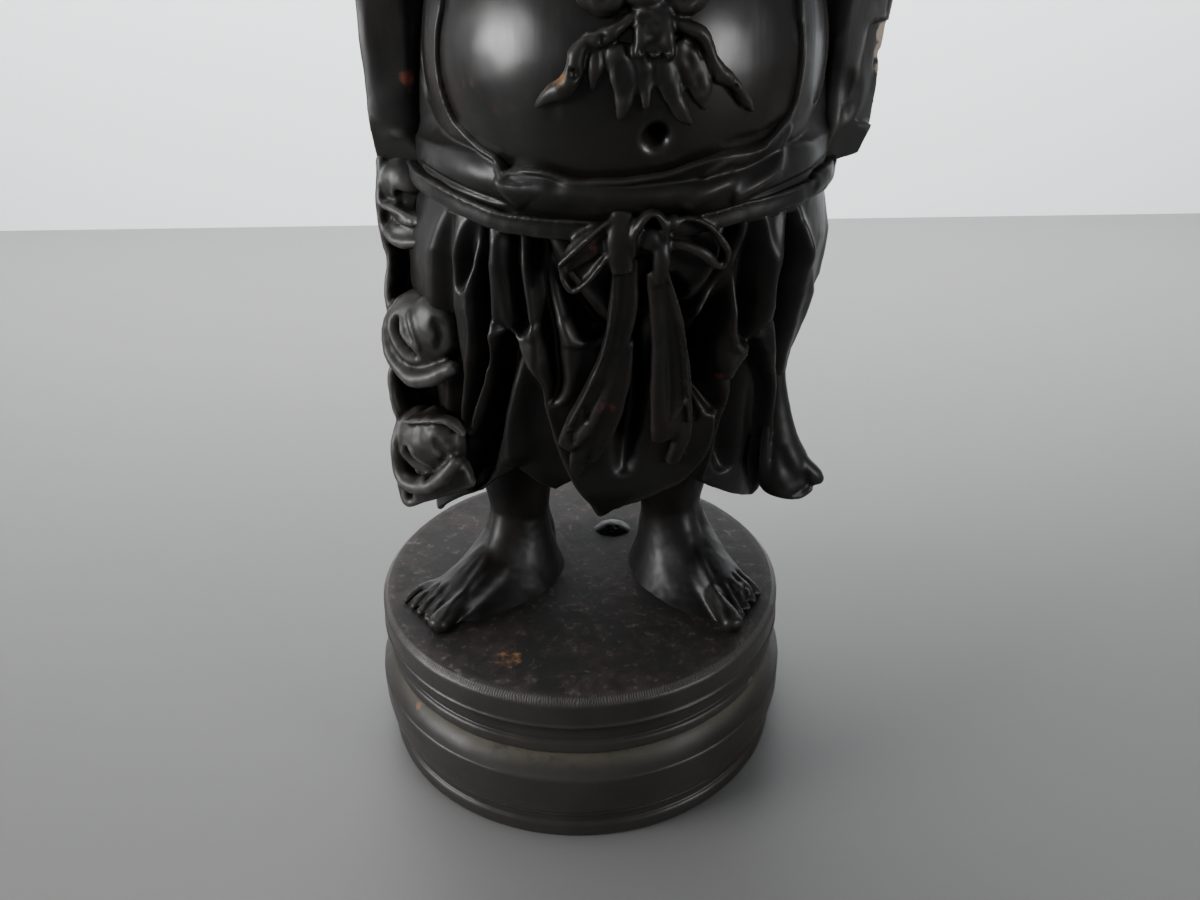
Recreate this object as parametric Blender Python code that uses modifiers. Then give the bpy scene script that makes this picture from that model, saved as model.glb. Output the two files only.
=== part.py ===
"""A standing laughing buddha, carved from one log together with its turned plinth.

The figure is set out on a sculptor's grid: its height is divided into fifty squares, and every
place and size on it is given in squares, with zero height at the top of the plinth. The plinth
is turned, and its mouldings have real sizes of their own. Front is -Y, and +Z is up.
"""
import math

import bmesh
import bpy
import numpy as np
from mathutils import Euler, Matrix, Vector

NAME = "laughing_buddha_statue"

# Plinth, in metres, with its mouldings named from the top down
PLINTH_RADIUS = 0.060
PLINTH_HEIGHT = 0.048
RIM_BEVEL = 0.0018
RIM_BAND = 0.0062
ARRIS = 0.0012
ARRIS_OUT = 0.0004
COVE_HEIGHT = 0.0056
COVE_DEPTH = 0.0017
ROLL_HEIGHT = 0.0048
ROLL_DEPTH = 0.0006
CREASE_DEPTH = 0.0026
SHOULDER_HEIGHT = 0.0056
BAND_OUT = 0.0026
BAND_SHOULDER = 0.0008
FOOT_OUT = 0.0008
FOOT_CREASE = 0.0009
FOOT_RECESS = 0.0038
FOOT_BAND = 0.0046
TURNED_SIDES = 60

# Figure: its height in metres, and the squares that height is divided into
FIGURE_HEIGHT = 0.300
GRID_SQUARES = 50
SQUARE = FIGURE_HEIGHT / GRID_SQUARES

# Fineness of the carving
FUSE_GRAIN = 0.0013
FIGURE_TRIANGLES = 7300

# Skirt and waist: height, half width, depth to the front and to the back of the figure's axis
SKIRT_STATIONS = (
    (3.0, 7.6, 3.9, 6.0),
    (7.0, 7.9, 4.9, 6.3),
    (10.0, 7.7, 5.9, 6.5),
    (13.0, 7.8, 6.9, 6.6),
    (16.0, 8.6, 7.9, 6.8),
    (18.0, 8.6, 8.4, 6.9),
    (20.0, 8.1, 8.5, 6.7),
    (22.0, 8.0, 8.3, 6.6),
)
TORSO_STATIONS = (
    (19.5, 8.0, 7.6, 6.6),
    (22.0, 8.2, 7.2, 6.8),
    (24.0, 8.0, 6.8, 6.8),
    (27.0, 7.4, 6.4, 6.8),
    (30.0, 7.4, 6.1, 6.5),
    (33.0, 7.1, 5.6, 6.0),
    (35.5, 6.3, 4.6, 5.2),
    (37.0, 4.6, 3.4, 4.0),
)
SECTION_POWER = 2.3
SKIRT_TOP = 20.8

# Belly: centre and radii
BELLY_CENTRE = (1.95, -2.3, 24.5)
BELLY_RADII = (7.3, 7.9, 7.0)

# The skirt's hem: degrees round from the front towards +X, and height
HEM = (
    (-180, 5.2),
    (-110, 4.6),
    (-80, 4.2),
    (-57, 5.7),
    (-32, 7.7),
    (-25, 8.4),
    (-12, 7.4),
    (0, 5.9),
    (8, 6.6),
    (22, 7.8),
    (30, 7.4),
    (48, 6.2),
    (75, 5.0),
    (110, 4.9),
    (180, 5.2),
)

# Grooves of the skirt: points in degrees and height, half width, depth
FRONT_GROOVES = (
    (((-37, 19.3), (-39, 17.8), (-40, 16.6)), 0.42, 1.1),
    (((-34.5, 19.3), (-33, 16.0), (-37, 13.0), (-42, 9.8)), 0.42, 0.8),
    (((-25.5, 19.2), (-23, 17.3), (-22, 15.2)), 0.35, 0.6),
    (((-21, 19.3), (-15.5, 16.5), (-13, 13.5), (-14, 12.0)), 0.4, 0.6),
    (((-19.5, 19.1), (-13, 17.7), (-6, 15.9), (-2.0, 15.1)), 0.42, 0.9),
    (((-25, 15.1), (-31, 12.6), (-36, 10.4), (-46, 6.6)), 0.6, 1.0),
    (((23, 19.2), (19, 17.3), (12, 15.9)), 0.38, 0.8),
    (((25.5, 19.3), (20.5, 16.0), (19, 14.2), (29, 11.4)), 0.52, 1.0),
    (((29, 19.4), (29.3, 16.5), (33, 14.5)), 0.42, 0.9),
    (((37, 13.8), (44, 10.5), (48, 6.5)), 0.75, 0.9),
    (((43, 19.1), (43, 16.5), (56, 12.5), (66, 8.0)), 0.45, 1.0),
)
BACK_GROOVES = tuple(
    (((side * turn, 19.6), (side * (turn + 3), 13.0), (side * (turn + 1), 5.5)), 0.55, 0.7)
    for side in (-1, 1)
    for turn in (96, 117, 138, 159)
)

# Edges of cloth that lie over what is on their right: points, rise, reach of the rise
CLOTH_EDGES = (
    (((-2, 6.0), (-12, 9.7), (-17, 13.3), (-25, 15.5)), 0.55, 2.4),
    (((29, 11.6), (25, 8.7), (12, 7.2), (0, 5.9)), 0.5, 2.0),
    (((34, 14.7), (43, 13.0), (51, 10.5), (58, 5.5)), 0.5, 1.6),
)
SQUARES_PER_DEGREE = 0.13


def lean(height):
    """How far the figure's axis has moved towards +X at a height: it leans off the plinth's centre."""
    return 0.4 + 0.078 * np.minimum(height, 20.0)


def spline(rows, count):
    """Rows read at even steps along a smooth curve through the given rows."""
    given = np.asarray(rows, float)
    padded = np.vstack([2 * given[0] - given[1], given, 2 * given[-1] - given[-2]])
    place = np.linspace(0, len(given) - 1, count)
    first = np.minimum(place.astype(int), len(given) - 2)
    step = (place - first)[:, None]
    before, start, end, after = (padded[first + k] for k in range(4))
    bend = 2 * before - 5 * start + 4 * end - after
    twist = 3 * start - before - 3 * end + after
    return 0.5 * (2 * start + (end - before) * step + bend * step**2 + twist * step**3)


def read_stations(stations, height):
    """Half width, front depth and back depth of a body at each height."""
    table = np.asarray(stations)
    return [np.interp(height, table[:, 0], table[:, column]) for column in (1, 2, 3)]


def body_points(stations, degrees, height, swell=0.0):
    """Points on a rounded body, from the angle round it, the height and an outward swell."""
    wide, front, back = read_stations(stations, height)
    angle = np.radians(degrees)
    power = 2.0 / SECTION_POWER
    across = np.sign(np.sin(angle)) * np.abs(np.sin(angle)) ** power
    along = np.sign(np.cos(angle)) * np.abs(np.cos(angle)) ** power
    deep = np.where(along > 0, front, back)
    return np.stack([lean(height) + (wide + swell) * across, -(deep + swell) * along, height + 0 * angle], -1)


def belly_points(degrees, height, swell=0.0):
    """Points on the belly, from the angle round it, the height and an outward swell."""
    wide, deep, tall = BELLY_RADII
    ring = np.sqrt(np.clip(1 - ((height - BELLY_CENTRE[2]) / tall) ** 2, 0, 1))
    angle = np.radians(degrees)
    across = BELLY_CENTRE[0] + (wide * ring + swell) * np.sin(angle)
    return np.stack([across, BELLY_CENTRE[1] - (deep * ring + swell) * np.cos(angle), height], -1)


def skirt_points(degrees, height, swell=0.0):
    """Points on the skirt before it is folded."""
    return body_points(SKIRT_STATIONS, degrees, height, swell)


def line_distance(points, degrees, height):
    """Signed distance in squares of each place on the skirt from a line drawn on it."""
    line = spline(points, 6 * len(points)) * (SQUARES_PER_DEGREE, 1.0)
    place = np.stack([degrees * SQUARES_PER_DEGREE, height], -1)
    nearest = np.full(place.shape[:-1], 1e9)
    side = np.ones_like(nearest)
    for start, end in zip(line[:-1], line[1:]):
        run = end - start
        offset = place - start
        share = np.clip((offset @ run) / (run @ run), 0, 1)
        gap = offset - share[..., None] * run
        length = np.linalg.norm(gap, axis=-1)
        turn = run[0] * offset[..., 1] - run[1] * offset[..., 0]
        closer = length < nearest
        nearest = np.where(closer, length, nearest)
        side = np.where(closer, np.sign(turn), side)
    return nearest * side


def fold_swell(degrees, height):
    """Outward swell of the skirt: grooves between raised folds, and edges lying over edges."""
    swell = np.zeros(np.broadcast(degrees, height).shape)
    for points, half_width, depth in FRONT_GROOVES + BACK_GROOVES:
        gap = np.abs(line_distance(points, degrees, height)) / half_width
        swell += depth * (0.35 * np.exp(-((gap - 2.0) ** 2)) - np.exp(-(gap**2)))
    for points, rise, reach in CLOTH_EDGES:
        gap = -line_distance(points, degrees, height)
        swell += rise * np.clip(gap / 0.3, 0, 1) * np.exp(-((gap / reach) ** 2))
    return swell


def skin(mesh, rings):
    """A closed loft through rings of points given in squares, added to a bmesh."""
    loops = [[mesh.verts.new(Vector(point) * SQUARE) for point in ring] for ring in rings]
    for low, high in zip(loops[:-1], loops[1:]):
        for i in range(len(low)):
            j = (i + 1) % len(low)
            mesh.faces.new((low[i], low[j], high[j], high[i]))
    mesh.faces.new(loops[0][::-1])
    mesh.faces.new(loops[-1])


def strap(mesh, rows, steps=20, sides=10, facing=None):
    """A rounded band along a smooth path: rows of x, y, z, half width and half thickness.

    The thickness points along facing, or away from the figure's axis where none is given.
    """
    path = spline(rows, steps)
    centre = path[:, :3]
    run = np.gradient(centre, axis=0)
    run /= np.linalg.norm(run, axis=1)[:, None]
    outward = centre * (1, 1, 0)
    outward[:, 0] -= lean(centre[:, 2])
    if facing is not None:
        outward = np.tile(facing, (steps, 1))
    across = np.cross(run, outward)
    across /= np.linalg.norm(across, axis=1)[:, None]
    outward = np.cross(across, run)
    turn = np.linspace(0, 2 * math.pi, sides, endpoint=False)[:, None, None]
    rim = np.cos(turn) * across * path[:, 3:4] + np.sin(turn) * outward * path[:, 4:5]
    rings = list((centre + rim).transpose(1, 0, 2))
    for end, way in ((0, -1), (-1, 1)):
        tip = centre[end] + way * run[end] * 0.5 * path[end, 4]
        cap = tip + 0.6 * (rings[end] - centre[end])
        rings = [cap] + rings if way < 0 else rings + [cap]
    skin(mesh, rings)


def strap_on(mesh, surface, rows, steps=20):
    """A strap lying on a surface: rows of degrees, height, rise, half width and half thickness."""
    table = np.asarray(rows, float)
    places = surface(table[:, 0], table[:, 1], table[:, 2])
    strap(mesh, np.hstack([places, table[:, 3:5]]), steps)


def ball(mesh, centre, radii, turn=(0, 0, 0)):
    """An ellipsoid: centre and radii in squares, turned by degrees about X, Y and Z."""
    place = Matrix.Translation(Vector(centre) * SQUARE)
    spin = Euler([math.radians(angle) for angle in turn]).to_matrix().to_4x4()
    size = Matrix.Diagonal((*(radius * SQUARE for radius in radii), 1.0))
    bmesh.ops.create_uvsphere(mesh, u_segments=24, v_segments=16, radius=1.0, matrix=place @ spin @ size)


def mirrored(rows, centre):
    """The same rows on the other side of the figure's axis."""
    return [(2 * centre - row[0], *row[1:]) for row in rows]


def add_skirt(mesh):
    """The pleated skirt, from the belt to a wavy hem, with a lip turned in under it."""
    degrees = np.linspace(-180, 180, 240, endpoint=False)
    hem_turn, hem_height = np.asarray(HEM, float).T
    hem = np.interp(degrees, hem_turn, hem_height)
    rings = []
    for share in np.linspace(0, 1, 56):
        height = SKIRT_TOP + (hem - SKIRT_TOP) * share
        rings.append(body_points(SKIRT_STATIONS, degrees, height, fold_swell(degrees, height)))
    lip = rings[-1].copy()
    lip[:, 0] = lean(hem) + 0.84 * (lip[:, 0] - lean(hem))
    lip[:, 1] *= 0.84
    lip[:, 2] += 0.7
    skin(mesh, [ring for ring in rings + [lip]][::-1])


def add_torso(mesh):
    """Robe over the back and sides, bare belly and chest, and the neck."""
    degrees = np.linspace(-180, 180, 96, endpoint=False)
    heights = np.linspace(TORSO_STATIONS[0][0], TORSO_STATIONS[-1][0], 30)
    skin(mesh, [body_points(TORSO_STATIONS, degrees, np.full(96, height)) for height in heights])
    ball(mesh, BELLY_CENTRE, BELLY_RADII)
    for side in (-1, 1):
        ball(mesh, (1.9 + side * 2.8, -3.6, 31.6), (3.4, 3.0, 2.7))
    ball(mesh, (1.85, -0.8, 36.6), (3.4, 3.4, 3.0))


def add_robe_edges(mesh):
    """Lapels down both sides of the belly, and the roll of cloth that the belly rests on."""
    for side, right in ((-1, 0), (1, 1)):
        strap(mesh, ((1.85 + side * 3.0, -4.0, 35.6, 0.8, 0.5), (1.85 + side * 5.2, -5.4, 32.0, 0.9, 0.6),
                     (1.95 + side * 6.9, -5.6, 28.0, 0.9, 0.6), (1.95 + side * 7.1, -5.7, 24.8, 0.8, 0.6),
                     (1.95 + side * (6.6 - 0.3 * right), -6.2, 22.8, 0.7, 0.6),
                     (1.95 + side * 5.0, -7.4, 21.6, 0.6, 0.5)))
    strap_on(mesh, skirt_points, ((-52, 21.6, 0.0, 0.6, 0.5), (-31, 21.1, 0.15, 0.8, 0.7),
                                  (-12, 20.6, 0.35, 0.85, 0.8), (4, 20.5, 0.4, 0.85, 0.8),
                                  (18, 20.7, 0.35, 0.85, 0.8), (34, 21.3, 0.15, 0.8, 0.7),
                                  (55, 21.8, 0.0, 0.6, 0.5)), steps=30)


def add_belt(mesh):
    """A narrow belt all round, dipping at the front, with its knot, bow and two hanging tails."""
    turn = np.linspace(-180, 180, 61)
    height = 19.65 + 0.75 * np.clip(np.abs(turn) / 75, 0, 1)
    size = np.tile((0.25, 0.4, 0.4), (len(turn), 1))
    strap_on(mesh, skirt_points, np.column_stack([turn, height, size]), steps=120)
    strap_on(mesh, skirt_points, ((-1.5, 19.6, 0.5, 0.6, 0.45), (-0.8, 18.3, 0.5, 0.55, 0.45)), steps=8)
    strap_on(mesh, skirt_points, ((3.5, 19.6, 0.5, 0.8, 0.45), (4.5, 18.4, 0.5, 0.6, 0.45)), steps=8)
    strap_on(mesh, skirt_points, ((-1, 19.4, 0.5, 0.25, 0.4), (-7, 18.9, 0.5, 0.25, 0.4),
                                  (-11.3, 18.1, 0.45, 0.25, 0.4), (-8.6, 17.5, 0.4, 0.25, 0.35),
                                  (-3, 18.6, 0.4, 0.25, 0.35)))
    strap_on(mesh, skirt_points, ((4, 19.4, 0.5, 0.25, 0.4), (11.5, 19.5, 0.5, 0.25, 0.4),
                                  (17.8, 18.8, 0.45, 0.25, 0.4), (15.5, 18.1, 0.4, 0.25, 0.35),
                                  (6, 18.9, 0.4, 0.25, 0.35)))
    strap_on(mesh, skirt_points, ((-0.5, 18.7, 0.4, 0.6, 0.4), (0.0, 16.4, 0.5, 0.6, 0.4),
                                  (-1.0, 14.0, 0.6, 0.65, 0.4), (-5.5, 11.8, 0.7, 0.85, 0.35),
                                  (-6.5, 10.2, 0.6, 0.9, 0.3)))
    strap_on(mesh, skirt_points, ((4.5, 18.7, 0.4, 0.5, 0.4), (6.5, 16.5, 0.5, 0.7, 0.4),
                                  (9.5, 14.5, 0.6, 0.9, 0.4), (13.0, 12.2, 0.7, 1.1, 0.35),
                                  (14.0, 10.6, 0.6, 0.8, 0.3)))


def add_tie(mesh):
    """The tie under the breast: its band, a hanging tab, waved ribbons and two pairs of pointed ends."""
    strap_on(mesh, belly_points, ((-75, 28.2, 0.1, 0.4, 0.25), (-40, 27.6, 0.1, 0.4, 0.25),
                                  (3, 26.9, 0.1, 0.4, 0.25), (46, 27.6, 0.1, 0.4, 0.25),
                                  (80, 28.2, 0.1, 0.4, 0.25)), steps=30)
    strap_on(mesh, belly_points, ((3, 26.9, 0.2, 0.65, 0.5), (3, 25.9, 0.25, 0.6, 0.4),
                                  (3.5, 24.9, 0.2, 0.6, 0.3)), steps=8)
    strap_on(mesh, belly_points, ((0, 26.4, 0.1, 0.3, 0.35), (-10.8, 25.2, 0.1, 0.3, 0.35),
                                  (-15, 24.4, 0.1, 0.35, 0.35), (-24, 23.5, 0.05, 0.2, 0.3)))
    strap_on(mesh, belly_points, ((6, 26.4, 0.1, 0.3, 0.35), (15.6, 25.2, 0.1, 0.3, 0.35),
                                  (20, 24.3, 0.1, 0.35, 0.35), (28.5, 23.3, 0.05, 0.2, 0.3)))
    for root, tip, foot in ((-3.5, -4.5, 23.1), (1.5, 0.8, 23.5), (5.0, 13.5, 22.9), (9.5, 17.5, 23.4)):
        strap_on(mesh, belly_points, ((root, 24.9, 0.1, 0.35, 0.35), ((root + tip) / 2, 24.1, 0.1, 0.42, 0.3),
                                      (tip, foot, 0.0, 0.12, 0.15)), steps=10)


def add_arms(mesh):
    """Raised arms with open hands, and sleeves that hang from the forearms down to the hips."""
    centre = 1.95
    arm = ((8.0, 0.2, 34.6, 2.3, 2.3), (9.6, -0.3, 36.6, 2.2, 2.2), (9.6, -0.9, 39.6, 1.8, 1.8),
           (8.7, -1.4, 43.0, 1.4, 1.4), (8.3, -1.8, 45.6, 1.05, 1.1))
    sleeve = ((9.8, -0.6, 21.3, 2.5, 1.55), (10.2, -0.5, 23.2, 2.8, 1.6), (10.25, -0.3, 28.0, 3.3, 1.55),
              (10.4, -0.3, 33.0, 3.4, 2.0), (10.4, -0.5, 37.5, 3.0, 2.4), (9.3, -1.2, 42.6, 2.2, 1.9))
    hand = ((8.3, -1.9, 45.3, 1.0, 0.8), (8.2, -2.3, 46.6, 1.4, 0.7), (8.2, -2.4, 47.8, 1.4, 0.6))
    for flip in (False, True):
        place = (lambda rows: mirrored(rows, centre)) if flip else (lambda rows: rows)
        strap(mesh, place(arm), sides=14)
        strap(mesh, place(sleeve), steps=30, sides=20)
        strap(mesh, place(hand), steps=10, sides=14)
        for finger in range(4):
            x = 7.15 + 0.68 * finger
            reach = 49.75 - 0.35 * abs(finger - 1.4)
            strap(mesh, place(((x, -2.4, 47.4, 0.36, 0.36), (x, -2.7, 48.7, 0.34, 0.34),
                               (x, -2.3, reach - 0.15, 0.28, 0.28))), steps=8, sides=8)
        strap(mesh, place(((7.3, -2.3, 46.2, 0.42, 0.42), (6.6, -3.0, 47.0, 0.38, 0.38),
                           (6.4, -3.3, 47.9, 0.3, 0.3))), steps=8, sides=8)


def add_head(mesh):
    """A round, bald head with long ear lobes, full cheeks and a calm smile."""
    x = 1.85
    ball(mesh, (x, -1.4, 42.2), (4.1, 4.4, 4.8))
    ball(mesh, (x, -2.2, 39.6), (3.9, 3.7, 2.6))
    ball(mesh, (x, -2.6, 38.0), (3.0, 2.9, 1.5))
    ball(mesh, (x, -5.55, 41.3), (0.85, 0.9, 0.65))
    strap(mesh, ((x, -5.6, 43.3, 0.4, 0.4), (x, -5.8, 42.3, 0.45, 0.5), (x, -6.0, 41.5, 0.6, 0.5)), steps=8)
    for side in (-1, 1):
        ball(mesh, (x + side * 1.9, -4.4, 40.5), (1.5, 1.2, 1.3))
        ball(mesh, (x + side * 1.55, -4.95, 42.5), (0.95, 0.5, 0.42), (0, side * 8, side * 14))
        strap(mesh, ((x + side * 0.6, -5.5, 43.5, 0.28, 0.3), (x + side * 1.7, -5.1, 43.9, 0.3, 0.3),
                     (x + side * 2.9, -4.1, 43.3, 0.25, 0.25)), steps=10)
        strap(mesh, ((x + side * 4.0, -0.9, 43.7, 0.7, 0.6), (x + side * 4.35, -0.8, 41.6, 0.85, 0.6),
                     (x + side * 4.3, -1.1, 39.6, 0.65, 0.55), (x + side * 3.95, -1.4, 37.6, 0.75, 0.55)))
    for drop, thick in ((0.0, 0.3), (0.5, 0.34)):
        strap(mesh, ((x - 1.5, -4.75, 39.95 - 0.1 * drop, 0.2, 0.2), (x, -5.75, 39.3 - drop, thick, thick),
                     (x + 1.5, -4.75, 39.95 - 0.1 * drop, 0.2, 0.2)), steps=12)


def add_feet(mesh):
    """Ankles and bare, turned-out feet, their inner sides running broadly into the plinth."""
    legs = (
        ((-3.0, 0.5), ((-2.7, 2.0), (-3.3, 0.4), (-5.0, -1.6), (-6.7, -3.3)), ((-6.7, -5.1), (-8.4, -3.0)),
         ((-2.4, 1.0), (-4.0, -2.0), (-6.0, -4.4))),
        ((4.6, 0.5), ((4.5, 2.0), (5.1, 0.4), (6.4, -1.8), (7.5, -3.6)), ((7.1, -5.8), (8.7, -3.0)),
         ((4.2, 1.0), (5.2, -2.0), (6.5, -4.6))),
    )
    up = (0.0, 0.0, 1.0)
    for (x, y), (heel, arch, instep, front), (big_toe, small_toe), slope in legs:
        strap(mesh, ((x, y + 0.4, -0.2, 1.5, 1.5), (x, y, 4.0, 1.45, 1.45), (x, y, 10.0, 2.6, 2.6)))
        strap(mesh, ((*heel, 0.6, 1.1, 0.9), (*arch, 0.9, 1.3, 1.7), (*instep, 0.7, 1.3, 1.25),
                     (*front, 0.4, 1.35, 0.8)), sides=14, facing=up)
        strap(mesh, [(*place, -0.1, wide, high) for place, wide, high in
                     zip(slope, (2.2, 2.0, 1.0), (1.6, 1.1, 0.6))], sides=14, facing=up)
        for toe in range(5):
            share = toe / 4
            tip = (1 - share) * np.array(big_toe) + share * np.array(small_toe)
            root = tip + 0.3 * (np.array(arch) - tip)
            size = 0.58 - 0.28 * share**0.6
            strap(mesh, ((*root, 0.7, size, size), (*tip, size * 0.7, size * 1.05, size)), steps=6, facing=up)
    ball(mesh, (1.8, 2.7, 0.4), (1.3, 1.0, 1.3))


def add_swag(mesh):
    """The robe's edge falling down the figure's right side in rolled folds with deep hollows."""
    strap(mesh, ((-5.9, -1.6, 20.6, 1.4, 1.2), (-6.0, -2.0, 17.0, 1.4, 1.0), (-6.0, -2.2, 12.0, 1.4, 1.0),
                 (-6.2, -2.4, 7.0, 1.4, 1.0)))
    strap(mesh, ((-7.2, -1.8, 20.2, 0.5, 0.45), (-7.5, -2.0, 16.0, 0.5, 0.4), (-7.5, -2.4, 12.5, 0.5, 0.4),
                 (-7.8, -2.6, 8.5, 0.5, 0.4), (-8.0, -3.0, 5.9, 0.5, 0.4)))
    strap(mesh, ((-7.5, -1.9, 19.2, 0.6, 0.5), (-6.6, -3.9, 18.7, 0.75, 0.6), (-5.0, -5.7, 18.6, 0.25, 0.4)))
    ball(mesh, (-6.1, -2.4, 20.2), (1.5, 1.7, 0.9))
    for height, across in ((14.2, -6.0), (9.2, -6.2)):
        ball(mesh, (across + 0.2, -3.9, height), (1.5, 1.4, 1.75), (0, 15, 40))
        ball(mesh, (across - 0.7, -3.3, height - 0.2), (0.9, 1.4, 1.7), (0, 10, 40))
    strap(mesh, ((-6.0, -3.2, 7.8, 1.2, 0.9), (-7.1, -3.2, 6.4, 1.0, 0.8), (-7.8, -3.2, 5.6, 0.5, 0.5)))


def add_hem_flare(mesh):
    """The hem's corner thrown out at the figure's left."""
    strap(mesh, ((8.6, -2.2, 12.0, 0.6, 0.5), (8.8, -2.5, 9.4, 0.9, 0.7), (9.6, -2.9, 7.5, 1.1, 1.0),
                 (10.2, -3.1, 6.5, 0.9, 0.8)))


# Hollows pressed into the wood: centre, radius and depth
DENTS = (
    ((2.6, -9.9, 22.5), 0.5, 0.7),
    ((10.6, -2.9, 23.4), 1.0, 0.6),
    ((-6.0, -3.4, 16.8), 1.1, 0.8),
    ((-6.2, -3.4, 11.7), 0.9, 0.7),
)


def press_dents(mesh):
    """Hollows pressed in towards the figure's axis, each given by centre, radius and depth."""
    for vertex in mesh.vertices:
        place = vertex.co / SQUARE
        inward = Vector((lean(place.z) - place.x, -place.y, 0.0)).normalized()
        for centre, radius, depth in DENTS:
            gap = (place - Vector(centre)).length / radius
            if gap < 2.0:
                vertex.co += inward * depth * math.exp(-gap**2) * SQUARE


def largest_shell(mesh):
    """Keeps the biggest connected shell, so no sealed pocket is left inside."""
    working = bmesh.new()
    working.from_mesh(mesh)
    unseen = set(working.verts)
    shells = []
    while unseen:
        shell = {unseen.pop()}
        front = list(shell)
        while front:
            vertex = front.pop()
            near = {edge.other_vert(vertex) for edge in vertex.link_edges} - shell
            shell |= near
            front.extend(near)
        unseen -= shell
        shells.append(shell)
    keep = max(shells, key=len)
    bmesh.ops.delete(working, geom=[vertex for vertex in working.verts if vertex not in keep])
    working.to_mesh(mesh)
    working.free()


def evaluated_copy(scene_object, name):
    """The mesh of an object with its modifiers applied."""
    graph = bpy.context.evaluated_depsgraph_get()
    mesh = bpy.data.meshes.new_from_object(scene_object.evaluated_get(graph))
    mesh.name = name
    return mesh


def make_figure(collection):
    """The figure: its forms fused into one skin, hollowed, and lightened to a facet budget."""
    forms = bmesh.new()
    for add in (add_skirt, add_torso, add_robe_edges, add_belt, add_tie, add_arms, add_head, add_feet,
                add_swag, add_hem_flare):
        add(forms)
    bmesh.ops.recalc_face_normals(forms, faces=forms.faces)
    mesh = bpy.data.meshes.new("figure_forms")
    forms.to_mesh(mesh)
    forms.free()
    figure = bpy.data.objects.new("figure", mesh)
    collection.objects.link(figure)
    fuse = figure.modifiers.new("Fuse", "REMESH")
    fuse.mode = "VOXEL"
    fuse.voxel_size = FUSE_GRAIN
    figure.data = evaluated_copy(figure, "figure_skin")
    figure.modifiers.clear()
    largest_shell(figure.data)
    press_dents(figure.data)
    soften = figure.modifiers.new("Soften", "SMOOTH")
    soften.factor = 0.5
    soften.iterations = 1
    lighten = figure.modifiers.new("Lighten", "DECIMATE")
    lighten.ratio = FIGURE_TRIANGLES / sum(len(face.vertices) - 2 for face in figure.data.polygons)
    figure.location.z = PLINTH_HEIGHT
    figure.hide_render = True
    figure.display_type = "WIRE"
    return figure


def plinth_profile():
    """The plinth's outline from the centre of its top, down its turned side, to the floor."""
    radius = PLINTH_RADIUS
    height = PLINTH_HEIGHT
    points = [(0.0, height), (radius - RIM_BEVEL, height), (radius, height - RIM_BEVEL)]
    height -= RIM_BEVEL + RIM_BAND
    points += [(radius, height), (radius + ARRIS_OUT, height - ARRIS / 2), (radius, height - ARRIS)]
    height -= ARRIS
    cove = radius - COVE_DEPTH
    points += [(cove + COVE_DEPTH * 0.2, height - COVE_HEIGHT * 0.3), (cove, height - COVE_HEIGHT)]
    height -= COVE_HEIGHT
    roll = radius - ROLL_DEPTH
    points += [(roll, height - ROLL_HEIGHT * 0.35), (roll, height - ROLL_HEIGHT * 0.7)]
    height -= ROLL_HEIGHT
    points += [(radius - CREASE_DEPTH, height)]
    height -= SHOULDER_HEIGHT
    foot = FOOT_BAND + FOOT_RECESS + FOOT_CREASE
    band = radius + BAND_OUT
    points += [(band - BAND_SHOULDER, height)]
    points += [(band, height - (height - foot) * share) for share in (0.25, 0.6)]
    radius += FOOT_OUT
    points += [(radius + FOOT_CREASE, foot + FOOT_CREASE), (radius - FOOT_CREASE, foot)]
    points += [(radius, foot - FOOT_CREASE), (radius - FOOT_CREASE, foot - 2 * FOOT_CREASE)]
    points += [(radius - FOOT_CREASE, FOOT_BAND), (radius, FOOT_BAND - FOOT_CREASE)]
    points += [(radius, 0.0), (0.0, 0.0)]
    return points


def make_plinth(collection):
    """The round plinth, turned from its profile."""
    mesh = bpy.data.meshes.new(NAME)
    profile = [(x, 0.0, z) for x, z in plinth_profile()]
    mesh.from_pydata(profile, [(i, i + 1) for i in range(len(profile) - 1)], [])
    plinth = bpy.data.objects.new(NAME, mesh)
    collection.objects.link(plinth)
    turn = plinth.modifiers.new("Turn", "SCREW")
    turn.steps = TURNED_SIDES
    turn.render_steps = TURNED_SIDES
    turn.use_merge_vertices = True
    turn.merge_threshold = 0.00001
    return plinth


def dark_wood():
    """Near-black stained and waxed hardwood."""
    material = bpy.data.materials.new("stained_waxed_hardwood")
    material.use_nodes = True
    shader = material.node_tree.nodes["Principled BSDF"]
    shader.inputs["Base Color"].default_value = (0.020, 0.017, 0.015, 1.0)
    shader.inputs["Roughness"].default_value = 0.40
    shader.inputs["Metallic"].default_value = 0.0
    return material


def main():
    """Clears the scene and builds the statue."""
    for scene_object in list(bpy.data.objects):
        bpy.data.objects.remove(scene_object)
    statue_parts = bpy.data.collections.new(NAME)
    cutters = bpy.data.collections.new("cutters")
    for collection in (statue_parts, cutters):
        bpy.context.scene.collection.children.link(collection)
    figure = make_figure(cutters)
    statue = make_plinth(statue_parts)
    union = statue.modifiers.new("Carved in one", "BOOLEAN")
    union.operation = "UNION"
    union.object = figure
    statue.data.materials.append(dark_wood())


main()
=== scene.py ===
"""The laughing buddha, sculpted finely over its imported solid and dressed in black, waxed wood.

Places and sizes on the figure are in squares of the sculptor's grid, six millimetres each, whose
zero height is the plinth's top. Front is -Y, and +Z is up.
"""

import logging
import math
from collections.abc import Iterable, Sequence
from dataclasses import dataclass, replace
from enum import Enum
from functools import partial

import bmesh
import bpy
import numpy as np
from mathutils import Euler, Matrix, Vector, noise


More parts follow.
